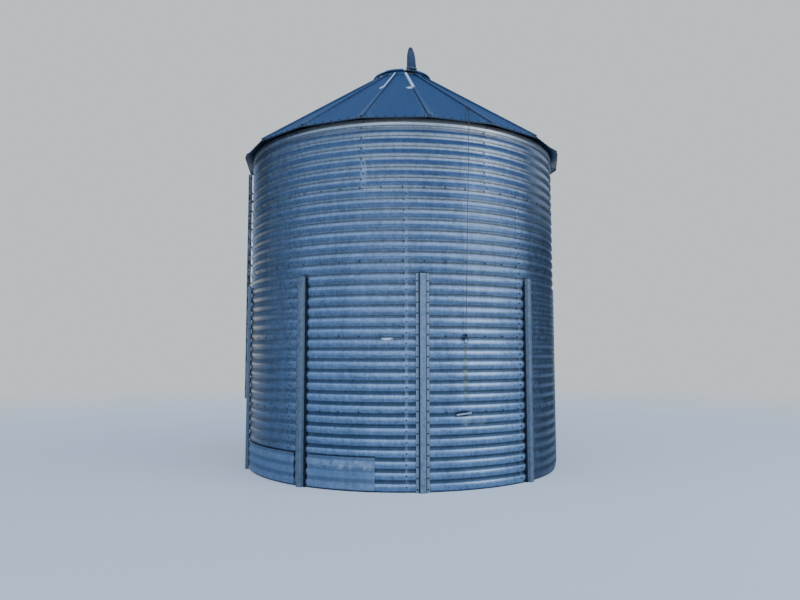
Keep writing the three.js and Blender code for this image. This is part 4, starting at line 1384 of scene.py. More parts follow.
        # Painted shade where the strip spans a groove
        tone = nodes.mix(tone, colours.groove_low, nodes.ramp(off_groove, 0.3, 0.1) * 0.5)
        ragged = nodes.ramp(nodes.noise(nodes.place(), 15, 4, 0.7), 0.4, 0.65)
        pale_patches = ragged * nodes.window(height, *PALE_PATCH_BAND) * nodes.ramp(azimuth, -34, -20)
        tone = nodes.mix(tone, colours.scuff_and_sheen, pale_patches * 0.4)
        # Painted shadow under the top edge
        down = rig.box("base_strip_1")[1].z - height
        return nodes.mix(tone, colours.eave, nodes.ramp(down, 0.0075, 0.0045)), None

    def bolt_detail(self, nodes, tone, azimuth):
        """Wall bolts: painted paler away from the front, into the wall's even side tone, as the dimmer light there
        shows them less.
        """
        aside = nodes.ramp(azimuth, -16, -34) + nodes.ramp(azimuth, 60, 100)
        return nodes.mix(tone, self.colours.plain, aside * 0.65), None

    def rope(self, name, base):
        """Rough fibre that has faded in places."""
        material, nodes, shader = self.start(name, 0.92, 0.0)
        place = nodes.place()
        fibre = nodes.noise(place, 900, 2, 0.6)
        fade = nodes.noise(place, 6, 3, 0.6)
        tone = nodes.mix(base, self.colours.grime, nodes.ramp(fade, 0.45, 0.7) * 0.4)
        nodes.feed(shader.inputs["Base Color"], nodes.scaled(tone, fibre * 0.7 + 0.65))
        nodes.relief(shader, fibre, 0.5, 0.0008)
        return material


@cache
def finishes():
    return Finishes(bpy.context.scene.silo)


def bolt_row(facing, first, step=(0, 0, 0), count=1, turns=1, turn_step=0.0, seed=1, finish="bolt"):
    """A mesh of bolts in a straight row, repeated round the silo."""
    fitting = bpy.context.scene.silo.fitting
    return grown(
        bolt_tree(), first=first, step=step, count=count, facing=facing, turns=turns, turn_step=turn_step,
        head=fitting.bolt_head, washer=fitting.bolt_washer, seed=seed, finish=finishes()[finish],
    )


# Stage

# The soft light round the silo, by azimuth and by how steeply it falls: a pair runs from none to full, and
# four values rise over the first two and fall over the last two
FRONT_LIGHT = (-116, -64, 82, 117)
FRONT_SLANT = (-60, 30)
LOW_LEFT_LIGHT = (-112, -138)
LOW_LEFT_STEEPNESS = (0.05, -0.05)
HIGH_LEFT_LIGHT = (-138, -154)
HIGH_LEFT_STEEPNESS = (-0.02, 0.12)
FAR_LIGHT = (149, 161)
BACK_STEEPNESS = (0.5, 0.1)
LEFT_LIGHT = (-20, -60)
RIGHT_LIGHT = (20, 60, 106, 130)
RIGHT_STEEPNESS = (0.2, 0.32)
TOP_STEEPNESS = (0.35, 0.6)
SKY_STEEPNESS = (0.02, 0.2)
HORIZON = (0.42, 0.55, 0.72, 1)
WARM_HORIZON = (0.66, 0.6, 0.48, 1)
SKY = (0.38, 0.56, 0.9, 1)

# The lamps: azimuth, distance and height, then size and colour; both shine on one point of the axis
KEY_PLACE = (53, 11.5, 4.8)
KEY_SIZE = 6
KEY_TINT = (0.9, 0.95, 1)
FILL_PLACE = (-10, 13, 3.6)
FILL_SIZE = 8
FILL_TINT = (0.84, 0.92, 1)
LIT_POINT = (0, 0, 2.6)

# The floor's own glow where the camera sees it, and the shares of its radius over which it fades out
FLOOR_GLOW = 0.4
FLOOR_FADE = (0.35, 0.08)


class SILO_OT_stage(bpy.types.Operator):
    """Makes the camera, the floor and the soft lights"""

    bl_idname = "silo.stage"
    bl_label = "Stage"

    def execute(self, context):
        stage = context.scene.silo.stage
        self.camera(context)
        self.world(context, stage)
        self.floor(context, stage)
        self.light(context, "key_light", KEY_PLACE, KEY_SIZE, stage.key_power, KEY_TINT)
        self.light(context, "fill_light", FILL_PLACE, FILL_SIZE, stage.fill_power, FILL_TINT)
        return {"FINISHED"}

    def camera(self, context):
        data = bpy.data.cameras.new("camera")
        data.sensor_width = SENSOR_WIDTH
        data.lens = FOCAL_PIXELS / PHOTO_WIDTH * SENSOR_WIDTH
        camera = bpy.data.objects.new("camera", data)
        camera.location = CAMERA_PLACE
        camera.rotation_euler = (math.radians(90 + CAMERA_PITCH), 0, 0)
        context.scene.collection.objects.link(camera)
        context.scene.camera = camera

    def world(self, context, stage):
        """Soft light that is stronger from some sides, and a plain backdrop where the camera sees it."""
        world = bpy.data.worlds.new("studio")
        context.scene.world = world
        world.use_nodes = True
        nodes = Nodes(world.node_tree)
        nodes.tree.nodes.clear()
        x, y, up = nodes.split(nodes.add("ShaderNodeTexCoord").outputs["Generated"])
        turn = nodes.azimuth(x, y)
        front = nodes.window(turn, *FRONT_LIGHT) * (nodes.ramp(turn, *FRONT_SLANT) * 0.08 + 0.94)
        low_left = nodes.ramp(turn, *LOW_LEFT_LIGHT) * nodes.ramp(up, *LOW_LEFT_STEEPNESS)
        high_left = nodes.ramp(turn, *HIGH_LEFT_LIGHT) * nodes.ramp(up, *HIGH_LEFT_STEEPNESS)
        far = nodes.ramp(turn, *FAR_LIGHT)
        back = (low_left * 1.5 + high_left + far) * nodes.ramp(up, *BACK_STEEPNESS)
        left = nodes.ramp(turn, *LEFT_LIGHT)
        right = nodes.window(turn, *RIGHT_LIGHT) * nodes.ramp(up, *RIGHT_STEEPNESS)
        top = nodes.ramp(up, *TOP_STEEPNESS)
        share = front + back * 1.6 + left * 0.14 + right * 0.4 + top * 0.32 + 0.09
        horizon = nodes.mix(HORIZON, WARM_HORIZON, low_left + far * 0.5)
        sky = nodes.mix(horizon, SKY, nodes.ramp(up, *SKY_STEEPNESS))
        soft = nodes.add("ShaderNodeBackground", {"Color": sky, "Strength": share * stage.sky_strength})
        plain = nodes.add("ShaderNodeBackground", {"Color": stage.backdrop, "Strength": 1.0})
        seen = nodes.add("ShaderNodeLightPath").outputs["Is Camera Ray"]
        both = nodes.add("ShaderNodeMixShader", {0: seen, 1: soft.outputs[0], 2: plain.outputs[0]})
        nodes.add("ShaderNodeOutputWorld", {"Surface": both.outputs[0]})

    def floor(self, context, stage):
        """A round floor that fades out before its edge."""
        material = bpy.data.materials.new("stage_floor")
        material.use_nodes = True
        nodes = Nodes(material.node_tree)
        shader = material.node_tree.nodes["Principled BSDF"]
        shader.inputs["Base Color"].default_value = stage.floor_colour
        shader.inputs["Roughness"].default_value = 0.9
        shader.inputs["Emission Color"].default_value = stage.floor_colour
        seen = Field(nodes, nodes.add("ShaderNodeLightPath").outputs["Is Camera Ray"])
        nodes.feed(shader.inputs["Emission Strength"], seen * FLOOR_GLOW)
        x, y, _ = nodes.split(nodes.place())
        away = nodes.math("SQRT", x * x + y * y) / stage.floor_radius
        nodes.feed(shader.inputs["Alpha"], nodes.ramp(away, *FLOOR_FADE))
        shape = bmesh.new()
        bmesh.ops.create_circle(shape, cap_ends=True, radius=stage.floor_radius, segments=TURNED_STEPS)
        mesh = bpy.data.meshes.new("stage_floor")
        shape.to_mesh(mesh)
        shape.free()
        mesh.materials.append(material)
        floor = bpy.data.objects.new("stage_floor", mesh)
        context.scene.collection.objects.link(floor)
        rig.stage(floor)

    def light(self, context, name, place, size, power, tint):
        data = bpy.data.lights.new(name, "AREA")
        data.size = size
        data.energy = power
        data.color = tint
        light = bpy.data.objects.new(name, data)
        light.location = around(*place)
        light.visible_camera = False
        light.rotation_euler = (Vector(LIT_POINT) - around(*place)).to_track_quat("-Z", "Y").to_euler()
        context.scene.collection.objects.link(light)


# Rope

# The rope's strands: the length of one full turn, and the section's core and lobes as shares of its radius
STRANDS = 3
ROPE_LAY = 0.03
ROPE_SPACING = 0.004
STRAND_CORE = 0.78
STRAND_LOBE = 0.24

# The knot at the eye, and the one at the ring with its coil and its two hitches round the ring's wire
EYE_KNOT_SIZE = 0.0029
EYE_KNOT_WIRE = 0.0036
EYE_KNOT_STEPS = 72
COIL_OVER_RING = 0.018
COIL_RADIUS = 0.0118
COIL_TURNS = 3.5
COIL_HEIGHT = 0.024
COIL_STEPS = 120
HITCH_ANGLE = 22
HITCH_RADIUS = 0.0074
HITCH_WIRE = 0.0028
HITCH_STEPS = 20


def strands(diameter):
    """The section of a rope of twisted strands, which turns along its length."""

    def reach(walked, turn):
        lobe = abs(math.cos(STRANDS / 2 * (turn - 2 * math.pi * walked / ROPE_LAY)))
        return diameter / 2 * (STRAND_CORE + STRAND_LOBE * lobe)

    return reach


def helix(centre, radius, turns, rise, steps):
    """Points of an upright helix round a centre."""
    points = []
    for i in range(steps + 1):
        turn = 2 * math.pi * turns * i / steps
        offset = Vector((radius * math.cos(turn), radius * math.sin(turn), rise * (i / steps - 0.5)))
        points.append(Vector(centre) + offset)
    return points


class SILO_OT_rope(bpy.types.Operator):
    """Makes the lid rope, its free end and its two knots, and the pull ring"""

    bl_idname = "silo.rope"
    bl_label = "Lid rope"

    def execute(self, context):
        fitting = context.scene.silo.fitting
        section = strands(fitting.rope_diameter)
        ring = self.pull_ring(fitting)
        knot = self.end_knot(fitting, section)
        eye_knot = self.eye_knot()
        for name, points, far_end, lay, pieces in (
            ("rope_line", ROPE_ROUTE, "knot", "hanging", (knot, ring)),
            ("rope_tail", TAIL_ROUTE, "bare", "loose", (eye_knot,)),
        ):
            route, total = smooth_route(points, ROPE_SPACING)
            shape = Shape()
            shape.tube(route, section)
            piece = add_piece(name, shape.mesh(SHARP_ROPE), "rope", "rope_fibre", replaces=["lid_rope"])
            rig.cord(
                piece, exit=points[0], length=total, diameter=fitting.rope_diameter, far_end=far_end,
                stiffness="limp", lay=lay, path=route, with_pieces=pieces,
            )
        return {"FINISHED"}

    def eye_knot(self):
        """A stopper knot: the rope's way round a three-lobed knot."""
        points = []
        for turn in full_turn(EYE_KNOT_STEPS):
            knot = Vector((
                math.sin(turn) + 2 * math.sin(2 * turn),
                math.cos(turn) - 2 * math.cos(2 * turn),
                -1.2 * math.sin(3 * turn),
            ))
            points.append(Vector(ROPE_ROUTE[0]) + knot * EYE_KNOT_SIZE)
        shape = Shape()
        shape.ring_tube(points, EYE_KNOT_WIRE, 10)
        return add_piece("eye_knot", shape.mesh(SHARP_ROPE), "rope", "rope_fibre", replaces=["lid_rope"])

    def end_knot(self, fitting, section):
        """Turns of rope round the rope's end and two loops round the ring's top."""
        x, y, _ = ROPE_ROUTE[-1]
        middle = Vector((x, y, fitting.ring_height + fitting.ring_half_height + COIL_OVER_RING))
        shape = Shape()
        shape.tube(helix(middle, COIL_RADIUS, COIL_TURNS, COIL_HEIGHT, COIL_STEPS), section)
        shape.tube([middle + Vector((0, 0, COIL_HEIGHT * k / 4)) for k in (2, 1, 0, -1, -2)], section)
        for side in (-1, 1):
            shape.ring_tube(self.hitch(fitting, side), HITCH_WIRE, 8)
        return add_piece("end_knot", shape.mesh(SHARP_ROPE), "knot", "rope_fibre", replaces=["lid_rope"])

    def hitch(self, fitting, side):
        """A loop round the ring's wire, to one side of its top."""
        centre = self.ring_point(fitting, math.radians(90 - HITCH_ANGLE * side))
        inward = -centre.normalized()
        place = self.ring_axes(fitting)
        loop = []
        for turn in full_turn(HITCH_STEPS):
            offset = inward * math.cos(turn) + Vector((0, math.sin(turn), 0))
            loop.append(place @ (centre + offset * HITCH_RADIUS))
        return loop

    def pull_ring(self, fitting):
        place = self.ring_axes(fitting)
        shape = Shape()
        line = [place @ self.ring_point(fitting, turn) for turn in full_turn(48)]
        shape.ring_tube(line, fitting.ring_wire / 2, 12)
        mesh = shape.mesh(SHARP_ROPE)
        return add_piece("pull_ring_wire", mesh, "dark_bolt", "fitting_steel", replaces=["pull_ring"])

    def ring_axes(self, fitting):
        return wall_axes(fitting.pin_azimuth, fitting.ring_distance, fitting.ring_height)

    def ring_point(self, fitting, turn):
        """A point of the oval pull ring's middle line, in the ring's own axes."""
        half_width = fitting.ring_half_width - fitting.ring_wire / 2
        half_height = fitting.ring_half_height - fitting.ring_wire / 2
        return Vector((half_width * math.cos(turn), 0, half_height * math.sin(turn)))


# Wall

# The stiffeners' gap to the wall and bends, and where their lowest bolts sit as a share of a corrugation
STIFFENER_GAP = 0.0006
STIFFENER_BEND = 0.007
LOWEST_BOLT = 0.3

# The base strips' gap to the wall, thickness and lean, and how far and how fast their edges waver
STRIP_GAP = 0.0008
STRIP_SHEET = 0.0022
STRIP_LEAN = 0.0004
STRIP_WAVER = 0.0016
WAVER_PER_DEGREE = 0.25
STRIP_STEP = 1.2


def seam_azimuth(wall, ring):
    """The azimuth of a seam in a ring; the top ring is turned."""
    return wall.top_seam if ring == RINGS else wall.lower_seam


class SILO_OT_wall(bpy.types.Operator):
    """Makes the corrugated sheets, each lapped over its right and lower neighbours"""

    bl_idname = "silo.wall"
    bl_label = "Wall sheets"

    def execute(self, context):
        wall = context.scene.silo.wall
        for ring in range(1, RINGS + 1):
            for segment, letter in enumerate(SEGMENTS):
                first = segment * SHEETS_PER_SEGMENT
                meshes = [self.sheet(wall, ring, first + i) for i in range(SHEETS_PER_SEGMENT)]
                add_piece(
                    f"wall_sheets_{ring}_{letter}", joined(meshes, SHARP_SHEET), "wall", "wall_steel",
                    replaces=[f"wall_ring_{ring}_{letter}"],
                )
        return {"FINISHED"}

    def sheet(self, wall, ring, number):
        return grown(
            sheet_tree(), thickness=wall.sheet, crest_radius=wall.crest_radius, depth=wall.depth,
            pitch=wall.ring_height / wall.corrugations, base=(ring - 1) * wall.ring_height,
            rise=wall.ring_height, end_lap=wall.end_lap if ring > 1 else 0.0,
            azimuth=seam_azimuth(wall, ring) + number * SHEET_SPAN, span=SHEET_SPAN,
            side_lap=wall.side_lap, step=wall.sheet + SHEET_GAP, finish=finishes()["wall"],
        )


def wall_surface(wall, height):
    """The wall's radius at a height and how steeply it widens there."""

    def radius(z):
        turn = 2 * math.pi * z * wall.corrugations / wall.ring_height
        return wall.crest_radius - wall.depth * (1 - (0.5 - 0.5 * math.cos(turn)) ** WAVE_FULLNESS)

    near = 0.001
    return radius(height), (radius(height + near) - radius(height - near)) / (2 * near)


class SILO_OT_wall_bolts(bpy.types.Operator):
    """Makes the bolts of the upright seams and of the joints between the rings"""

    bl_idname = "silo.wall_bolts"
    bl_label = "Wall bolts"

    def execute(self, context):
        wall = context.scene.silo.wall
        rows = [row for ring in range(1, RINGS + 1) for row in self.seam_rows(wall, ring)]
        rows += [self.joint_row(wall, joint) for joint in range(1, RINGS)]
        add_piece("wall_bolts", joined(rows, SHARP_FOLD), "bolt", "wall_steel")
        return {"FINISHED"}

    def seam_rows(self, wall, ring):
        """Two rows of bolts up each seam of a ring: one in the grooves and one on the crests."""
        pitch = wall.ring_height / wall.corrugations
        groove = wall.crest_radius - wall.depth
        rows = []
        for shift, phase, radius, count in (
            (GROOVE_BOLT_SHIFT, 1.0, groove, wall.corrugations - 1),
            (CREST_BOLT_SHIFT, 0.5, wall.crest_radius, wall.corrugations),
        ):
            azimuth = seam_azimuth(wall, ring) + shift
            first = around(azimuth, radius, (ring - 1) * wall.ring_height + phase * pitch)
            rows.append(bolt_row(
                outward(azimuth), first, step=(0, 0, pitch), count=count, turns=SHEETS_ROUND,
                turn_step=SHEET_SPAN, seed=ring - 1,
            ))
        return rows

    def joint_row(self, wall, joint):
        """Bolts all round a joint; the pull ring's pin stands in the place of one of them."""
        spacing = SHEET_SPAN / JOINT_BOLTS_PER_SHEET
        start = 0
        count = SHEETS_ROUND * JOINT_BOLTS_PER_SHEET
        if joint == PIN_JOINT:
            start = (PIN_BOLT + 1) * spacing
            count -= 1
        height = joint * wall.ring_height + JOINT_BOLT_RISE
        radius, lean = wall_surface(wall, height)
        return bolt_row(
            outward(start) - Vector((0, 0, lean)), around(start, radius + BOLT_SEAT, height),
            turns=count, turn_step=spacing, seed=joint + JOINT_SEED,
        )


class SILO_OT_stiffeners(bpy.types.Operator):
    """Makes the hat-section stiffeners and their bolts"""

    bl_idname = "silo.stiffeners"
    bl_label = "Stiffeners"

    def execute(self, context):
        silo = context.scene.silo
        section = self.section(silo.stiffener)
        for number, azimuth in enumerate(STIFFENER_AZIMUTHS, 1):
            place = wall_axes(azimuth, silo.wall.crest_radius + STIFFENER_GAP, 0)
            shape = Shape()
            shape.prism([(p.x, -p.y) for p in section], 0, silo.stiffener.height, place)
            mesh = shape.mesh(SHARP_BEND)
            mark_across(mesh, [(place.translation, sideways(azimuth))])
            add_piece(
                f"stiffener_channel_{number}", mesh, "stiffener", "stiffener_steel",
                replaces=[f"stiffener_{number}"],
            )
        self.bolts(silo.stiffener, silo.wall)
        return {"FINISHED"}

    def section(self, sizes):
        """The hat's outline, with its depth away from the wall."""
        half = sizes.width / 2
        crown = sizes.crown / 2 - sizes.sheet / 2
        foot = sizes.crown / 2 + sizes.flare - sizes.sheet / 2
        low = sizes.sheet / 2
        high = sizes.depth - sizes.sheet / 2
        path = [(-half, low), (-foot, low), (-crown, high), (crown, high), (foot, low), (half, low)]
        return folded_section(rounded(path, STIFFENER_BEND, closed=False), sizes.sheet)

    def bolts(self, sizes, wall):
        """A row up the middle of each flange, on the wall's crests."""
        pitch = wall.ring_height / wall.corrugations
        offset = (sizes.width + sizes.crown) / 4 + sizes.flare / 2
        seat = wall.crest_radius + sizes.sheet + BOLT_SEAT
        rows = []
        for azimuth in STIFFENER_AZIMUTHS:
            for side in (-1, 1):
                first = around(azimuth, seat, pitch * LOWEST_BOLT)
                first += sideways(azimuth) * offset * side
                rows.append(bolt_row(
                    outward(azimuth), first, step=(0, 0, pitch), count=int(sizes.height / pitch),
                    seed=STIFFENER_SEED + side, finish="dark_bolt",
                ))
        add_piece("stiffener_bolts", joined(rows, SHARP_FOLD), "dark_bolt", "stiffener_steel")


class SILO_OT_base_strips(bpy.types.Operator):
    """Makes the flat strips round the foot of the wall"""

    bl_idname = "silo.base_strips"
    bl_label = "Base strips"

    def execute(self, context):
        inner = context.scene.silo.wall.crest_radius + STRIP_GAP
        for index, (start, end) in enumerate(STRIP_SPANS):
            node = f"base_strip_{index + 1}"
            low, high = (corner.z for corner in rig.box(node))
            steps = round((end - start) / STRIP_STEP)
            azimuths = [start + (end - start) * i / steps for i in range(steps + 1)]
            shape = Shape()
            shape.loft([self.section(azimuth, inner, low, high, index) for azimuth in azimuths])
            mesh = shape.mesh(SHARP_BEND)
            add_piece(f"foot_strip_{index + 1}", mesh, "strip", "strip_steel", replaces=[node])
        return {"FINISHED"}

    def section(self, azimuth, inner, low, high, index):
        """The strip cut across: plain at mid height, with slightly wavy edges."""
        wave = STRIP_WAVER * abs(noise.noise(Vector((azimuth * WAVER_PER_DEGREE, index, 0))))
        middle = (low + high) / 2
        outline = (
            (0, low), (STRIP_SHEET + wave, low), (STRIP_SHEET, middle),
            (STRIP_SHEET + STRIP_LEAN + wave, high), (STRIP_LEAN + wave, high), (0, middle),
        )
        return [around(azimuth, inner + reach, height) for reach, height in outline]


# Roof

# A panel's bend over its lip and where its flat sheet starts
LIP_BEND = 0.003
SHEET_START = 0.002

# How far a panel may sag between its ribs, and how fast this changes across it, up it and between panels
PANEL_SAG = 0.0022
SAG_ACROSS = 2.2
SAG_UP = 1.6
SAG_STEP = 3.7

# A rib's foot under the panels' top, its rounded edges, and its ends with their shares of its full size
RIB_SINK = 0.004
RIB_ROUND = 0.008
RIB_END_RISE = 0.9
EAVE_END_WIDTH = 0.94
EAVE_END_LENGTH = 0.003
PEAK_END_LENGTH = 0.03

# The screws along a panel's eave
SCREWS = 7
SCREW_ROW_WIDTH = 0.66
SCREW_SETBACK = 0.028
SCREW_SEAT = 0.0008

# The collar's sheet and its rolled bead, and how far it lies inside its solid
NECK_SHEET = 0.003
NECK_BEAD = 0.006
NECK_INSET = 0.0004

# The lid's rounded edge, its rim's hem and the ring pressed into its cone
LID_EDGE = 0.006
LID_HEM = 0.003
LID_STEPS = 8
SWAGE_STEP = 6
SWAGE_RISE = 0.002

# The widths of the rounded edges of the lever, its brace and the hinge
LEVER_EDGE = 0.0022
BRACE_EDGE = 0.0012
HINGE_EDGE = 0.0015


def panel_peak(roof):
    """How far from the axis the corners of the panels and the ends of the ribs lie at the peak."""
    return (roof.collar_radius + PANEL_GAP) / math.cos(math.radians(HALF_PANEL))


class SILO_OT_roof(bpy.types.Operator):
    """Makes the roof panels with their eave lips, and the ribs over their joints"""

    bl_idname = "silo.roof"
    bl_label = "Roof"

    def execute(self, context):
        roof = context.scene.silo.roof
        for sector in range(ROOF_PANELS // PANELS_PER_SECTOR):
            first = sector * PANELS_PER_SECTOR
            rib_azimuths = [roof.rib_azimuth + (first + i) * PANEL_STEP for i in range(PANELS_PER_SECTOR)]
            panels = Shape()
            ribs = Shape()
            for i, azimuth in enumerate(rib_azimuths):
                self.panel(panels, roof, azimuth - HALF_PANEL, first + i)
                self.rib(ribs, roof, azimuth)
            rib_mesh = ribs.mesh(SHARP_FOLD)
            mark_across(rib_mesh, [(Vector(), sideways(azimuth)) for azimuth in rib_azimuths])
            number = sector + 1
            for name, mesh, finish in (
                (f"roof_panels_{number}", panels.mesh(SHARP_FOLD), "roof"),
                (f"roof_ribs_{number}", rib_mesh, "rib"),
            ):
                add_piece(name, mesh, finish, "roof_steel", replaces=[f"roof_sector_{number}"])
        self.screws(roof)
        return {"FINISHED"}

    def panel(self, shape, roof, azimuth, number):
        """One tapering sheet with a lip turned down at the eave and a slight unevenness."""
        place = panel_axes(roof, azimuth)
        half_turn = math.radians(HALF_PANEL)
        slope = roof.slope / math.cos(half_turn)
        long = (roof.eave_radius - panel_peak(roof)) * math.cos(half_turn) * math.hypot(1, slope)
        eave_half = roof.eave_radius * math.sin(half_turn) - PANEL_GAP
        peak_half = panel_peak(roof) * math.sin(half_turn)
        profile = self.panel_profile(roof, math.atan(slope), long)
        top = []
        for k, point in enumerate(profile):
            share = max(point.y, 0) / long
            half = eave_half + (peak_half - eave_half) * share
            sag = math.sin(math.pi * min(1, share)) if k >= len(profile) - PANEL_ROWS else 0
            top.append(self.panel_row(point, half, number, sag))
        rings = []
        for k, row in enumerate(top):
            along = top[min(k + 1, len(top) - 1)][0] - top[max(k - 1, 0)][0]
            inner = Vector((0, along.z, -along.y)).normalized() * roof.sheet
            rings.append([place @ point for point in row + [point + inner for point in reversed(row)]])
        shape.loft(rings)

    def panel_profile(self, roof, lean, long):
        """The panel's top cut along its middle: down the lip, round its bend and up the slope."""
        edge = Vector((0, 0, roof.panel_top))
        down = Vector((0, -math.sin(lean), -math.cos(lean)))
        lip = [edge + down * roof.lip, edge + down * LIP_BEND, Vector((0, SHEET_START, roof.panel_top))]
        return lip + [Vector((0, long * k / PANEL_ROWS, roof.panel_top)) for k in range(1, PANEL_ROWS + 1)]

    def panel_row(self, point, half, number, sag):
        """Points across the panel, which sags a little between its ribs."""
        row = []
        for i in range(PANEL_COLUMNS + 1):
            x = half * (2 * i / PANEL_COLUMNS - 1)
            spot = (x * SAG_ACROSS, point.y * SAG_UP, number * SAG_STEP)
            bow = noise.noise(Vector(spot))
            depth = PANEL_SAG * abs(bow) * (math.sin(math.pi * i / PANEL_COLUMNS) * sag)
            row.append(Vector((x, point.y, point.z - depth)))
        return row

    def rib(self, shape, roof, azimuth):
        """A raised rib with rounded edges, lower at its ends and narrower at the eave end."""
        long = (roof.eave_radius - panel_peak(roof)) * math.hypot(1, roof.slope)
        place = slope_axes(azimuth, roof.eave_radius, roof.eave_height, roof.slope)
        base = roof.rib_base / 2
        crown = roof.rib_top / 2
        low = roof.panel_top - RIB_SINK
        high = roof.panel_top + roof.rib_height
        outline = rounded([(-base, low), (base, low), (crown, high), (-crown, high)], RIB_ROUND)
        rings = []
        for along, tall, wide in (
            (roof.rib_setback, RIB_END_RISE, EAVE_END_WIDTH), (roof.rib_setback + EAVE_END_LENGTH, 1, 1),
            (long / 2, 1, 1), (long - PEAK_END_LENGTH, 1, 1), (long, RIB_END_RISE, 1),
        ):
            rings.append([place @ Vector((p.x * wide, along, low + (p.y - low) * tall)) for p in outline])
        shape.loft(rings)

    def screws(self, roof):
        """Screws along each panel's eave."""
        azimuth = roof.rib_azimuth + HALF_PANEL
        place = panel_axes(roof, azimuth)
        facing = (place.to_3x3() @ Vector((0, 0, 1))).normalized()
        first = place @ Vector((-SCREW_ROW_WIDTH / 2, SCREW_SETBACK, roof.panel_top + SCREW_SEAT))
        row = bolt_row(
            facing, first, step=sideways(azimuth) * (SCREW_ROW_WIDTH / (SCREWS - 1)), count=SCREWS,
            turns=ROOF_PANELS, turn_step=PANEL_STEP, seed=ROOF_SEED, finish="dark_bolt",
        )
        add_piece("roof_screws", joined([row], SHARP_FOLD), "dark_bolt", "roof_steel")


class SILO_OT_collar(bpy.types.Operator):
    """Makes the filler collar at the peak and dresses the ring under the eave"""

    bl_idname = "silo.collar"
    bl_label = "Collar"

    def execute(self, context):
        low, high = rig.box("roof_collar")
        radius = context.scene.silo.roof.collar_radius - NECK_INSET
        bead = high.z - NECK_BEAD
        profile = [(radius - NECK_SHEET, low.z), (radius, low.z)]
        profile += arc((radius - NECK_BEAD, bead), NECK_BEAD, 0, 180, 8)
        profile += [(radius - 2 * NECK_BEAD, bead - NECK_SHEET), (radius - NECK_SHEET, bead - NECK_BEAD)]
        shape = Shape()
        shape.turned(profile, TURNED_STEPS)
        add_piece("filler_collar", shape.mesh(SHARP_TURNED), "lid", "roof_steel", replaces=["roof_collar"])
        dress("eave_ring", "fitting")
        return {"FINISHED"}


class SILO_OT_lid(bpy.types.Operator):
    """Makes the lid with its rolled rim, its lever and its brace"""

    bl_idname = "silo.lid"
    bl_label = "Lid"

    def execute(self, context):
        lid = context.scene.silo.lid
        shape = Shape()
        shape.turned(self.profile(lid), TURNED_STEPS)
        add_piece("lid_cone", shape.mesh(SHARP_TURNED), "lid", "roof_steel", "lid", ["lid_disc"])
        softened("lid_lever", "lever_plate", "fitting", "fitting_steel", LEVER_EDGE, body="lid")
        softened("lid_brace", "brace_bar", "fitting", "fitting_steel", BRACE_EDGE, body="lid")
        softened("hinge_bracket", "hinge_ears", "hinge", "fitting_steel", HINGE_EDGE)
        return {"FINISHED"}

    def profile(self, lid):
        """Half of the lid cut through its axis: the cone with a swage, the rolled rim and the underside."""
        peak = lid.rim_height + lid.rise
        inner = lid.radius - LID_EDGE
        low = lid.rim_height - lid.lip
        profile = [(0, peak)]
        for k in range(1, LID_STEPS + 1):
            radius = inner * k / LID_STEPS
            swage = SWAGE_RISE if k == SWAGE_STEP else 0
            profile.append((radius, peak - lid.rise / lid.radius * radius + swage))
        profile += arc((inner, lid.rim_height - LID_EDGE + 0.001), LID_EDGE, 80, 0, 5)
        profile += arc((lid.radius - LID_HEM, low + LID_HEM), LID_HEM, 0, -180, 6)
        profile += [(inner, lid.rim_height - 2 * LID_EDGE)]
        profile += [(inner - 0.004, lid.rim_height - lid.sheet - 0.001), (0, peak - lid.sheet)]
        return profile


# Ladder and small fittings

# The stiles' rounded corners, and how much shorter a rung is than the ladder is wide
STILE_ROUND = 0.005
RUNG_SHORT = 0.008

# The widths of the rounded edges of the ladder's stays, the rope's eye and the cleat
LADDER_STAY_EDGE = 0.0015
EYE_EDGE = 0.0018
CLEAT_EDGE = 0.005

# The heights of the pin's head and washer, the head's rounded edge, and the washer's fillet at the shank
PIN_HEAD_HEIGHT = 0.007
PIN_HEAD_EDGE = 0.003
PIN_WASHER_HEIGHT = 0.004
PIN_FILLET = 0.001


class SILO_OT_ladder(bpy.types.Operator):
    """Makes the side ladder and its brackets"""

    bl_idname = "silo.ladder"
    bl_label = "Ladder"

    def execute(self, context):
        sizes = context.scene.silo.ladder
        low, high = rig.box("ladder")
        middle = (low.x + high.x) / 2
        half_depth = sizes.stile_depth / 2
        half_width = sizes.stile_width / 2
        corners = [
            (-half_depth, -half_width), (half_depth, -half_width), (half_depth, half_width),
            (-half_depth, half_width),
        ]
        shape = Shape()
        for side in (low.y + half_width, high.y - half_width):
            outline = rounded([(middle + x, side + y) for x, y in corners], STILE_ROUND)
            shape.prism(outline, low.z, high.z, Matrix())
        rungs = grown(
            rung_tree(), first=(middle, 0, sizes.first_rung), rise=sizes.rung_rise, count=RUNGS,
            length=high.y - low.y - RUNG_SHORT, radius=sizes.rung_radius, finish=finishes()["ladder"],
        )
        mesh = joined([shape.mesh(SHARP_BEND), rungs], SHARP_TURNED)
        add_piece("side_ladder", mesh, "ladder", "ladder_steel", replaces=["ladder"])
        for i in range(1, LADDER_BRACKETS + 1):
            stay = f"ladder_stay_{i}"
            softened(f"ladder_bracket_{i}", stay, "ladder", "ladder_steel", LADDER_STAY_EDGE)
        return {"FINISHED"}


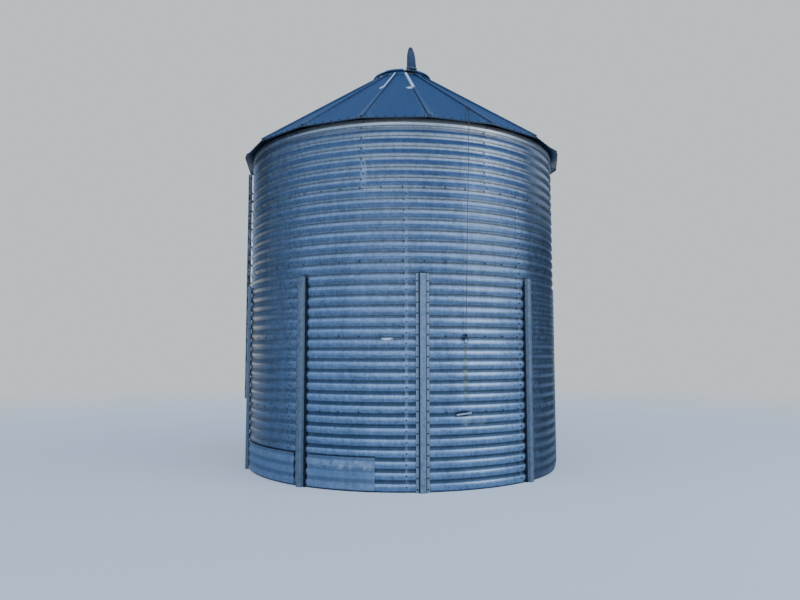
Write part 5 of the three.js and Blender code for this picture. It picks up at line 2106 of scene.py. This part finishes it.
class SILO_OT_fittings(bpy.types.Operator):
    """Makes the rope's eye on the roof, the pin in the wall and the cleat below it"""

    bl_idname = "silo.fittings"
    bl_label = "Eye, pin and cleat"

    def execute(self, context):
        fitting = context.scene.silo.fitting
        softened("rope_eye", "roof_eye", "fitting", "fitting_steel", EYE_EDGE, 3, SHARP_TURNED)
        softened("wall_cleat", "cleat_horns", "cleat", "fitting_steel", CLEAT_EDGE, 3, SHARP_TURNED)
        place = axes(
            sideways(fitting.pin_azimuth), Vector((0, 0, 1)), outward(fitting.pin_azimuth),
            Vector((0, 0, fitting.pin_height)),
        )
        shape = Shape()
        shape.turned(self.pin_profile(fitting), 24, place)
        add_piece("ring_pin", shape.mesh(SHARP_BEND), "fitting", "fitting_steel", replaces=["rope_hook"])
        dress("floor_sheet", "floor")
        return {"FINISHED"}

    def pin_profile(self, fitting):
        """Half of the pin cut through its axis, from its rounded head back to its washer."""
        edge = PIN_HEAD_EDGE
        under_head = fitting.pin_reach - PIN_HEAD_HEIGHT
        washer_top = fitting.pin_seat + PIN_WASHER_HEIGHT
        profile = [(0, fitting.pin_reach)]
        profile += arc((fitting.pin_head - edge, fitting.pin_reach - edge), edge, 90, 0, 4)
        profile += [(fitting.pin_head, under_head), (fitting.pin_shank, under_head)]
        profile += [(fitting.pin_shank, washer_top + PIN_FILLET), (fitting.pin_washer, washer_top)]
        return profile + [(fitting.pin_washer, fitting.pin_seat), (0, fitting.pin_seat)]


class SILO_PT_panel(bpy.types.Panel):
    """Lists the silo's pieces"""

    bl_idname = "SILO_PT_panel"
    bl_label = "Grain Silo"
    bl_space_type = "VIEW_3D"
    bl_region_type = "UI"
    bl_category = "Silo"

    def draw(self, context):
        for operator in OPERATORS:
            self.layout.operator(operator.bl_idname)


OPERATORS = (
    SILO_OT_stage,
    SILO_OT_rope,
    SILO_OT_wall,
    SILO_OT_wall_bolts,
    SILO_OT_stiffeners,
    SILO_OT_base_strips,
    SILO_OT_roof,
    SILO_OT_collar,
    SILO_OT_lid,
    SILO_OT_ladder,
    SILO_OT_fittings,
)
CLASSES = (
    WallSizes,
    StiffenerSizes,
    RoofSizes,
    LidSizes,
    FittingSizes,
    LadderSizes,
    SiloColours,
    StageSizes,
    SiloSettings,
    *OPERATORS,
    SILO_PT_panel,
)


def register():
    for cls in CLASSES:
        bpy.utils.register_class(cls)
    bpy.types.Scene.silo = PointerProperty(type=SiloSettings)


def unregister():
    del bpy.types.Scene.silo
    for cls in reversed(CLASSES):
        bpy.utils.unregister_class(cls)


def main():
    register()
    for operator in OPERATORS:
        group, name = operator.bl_idname.split(".")
        getattr(getattr(bpy.ops, group), name)()
    sizes = {"cad": [list(corner) for corner in CAD_BOX], "visual": [list(corner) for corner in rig.bounds()]}
    with open("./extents.json", "w") as file:
        json.dump(sizes, file)


if __name__ == "__main__":
    main()
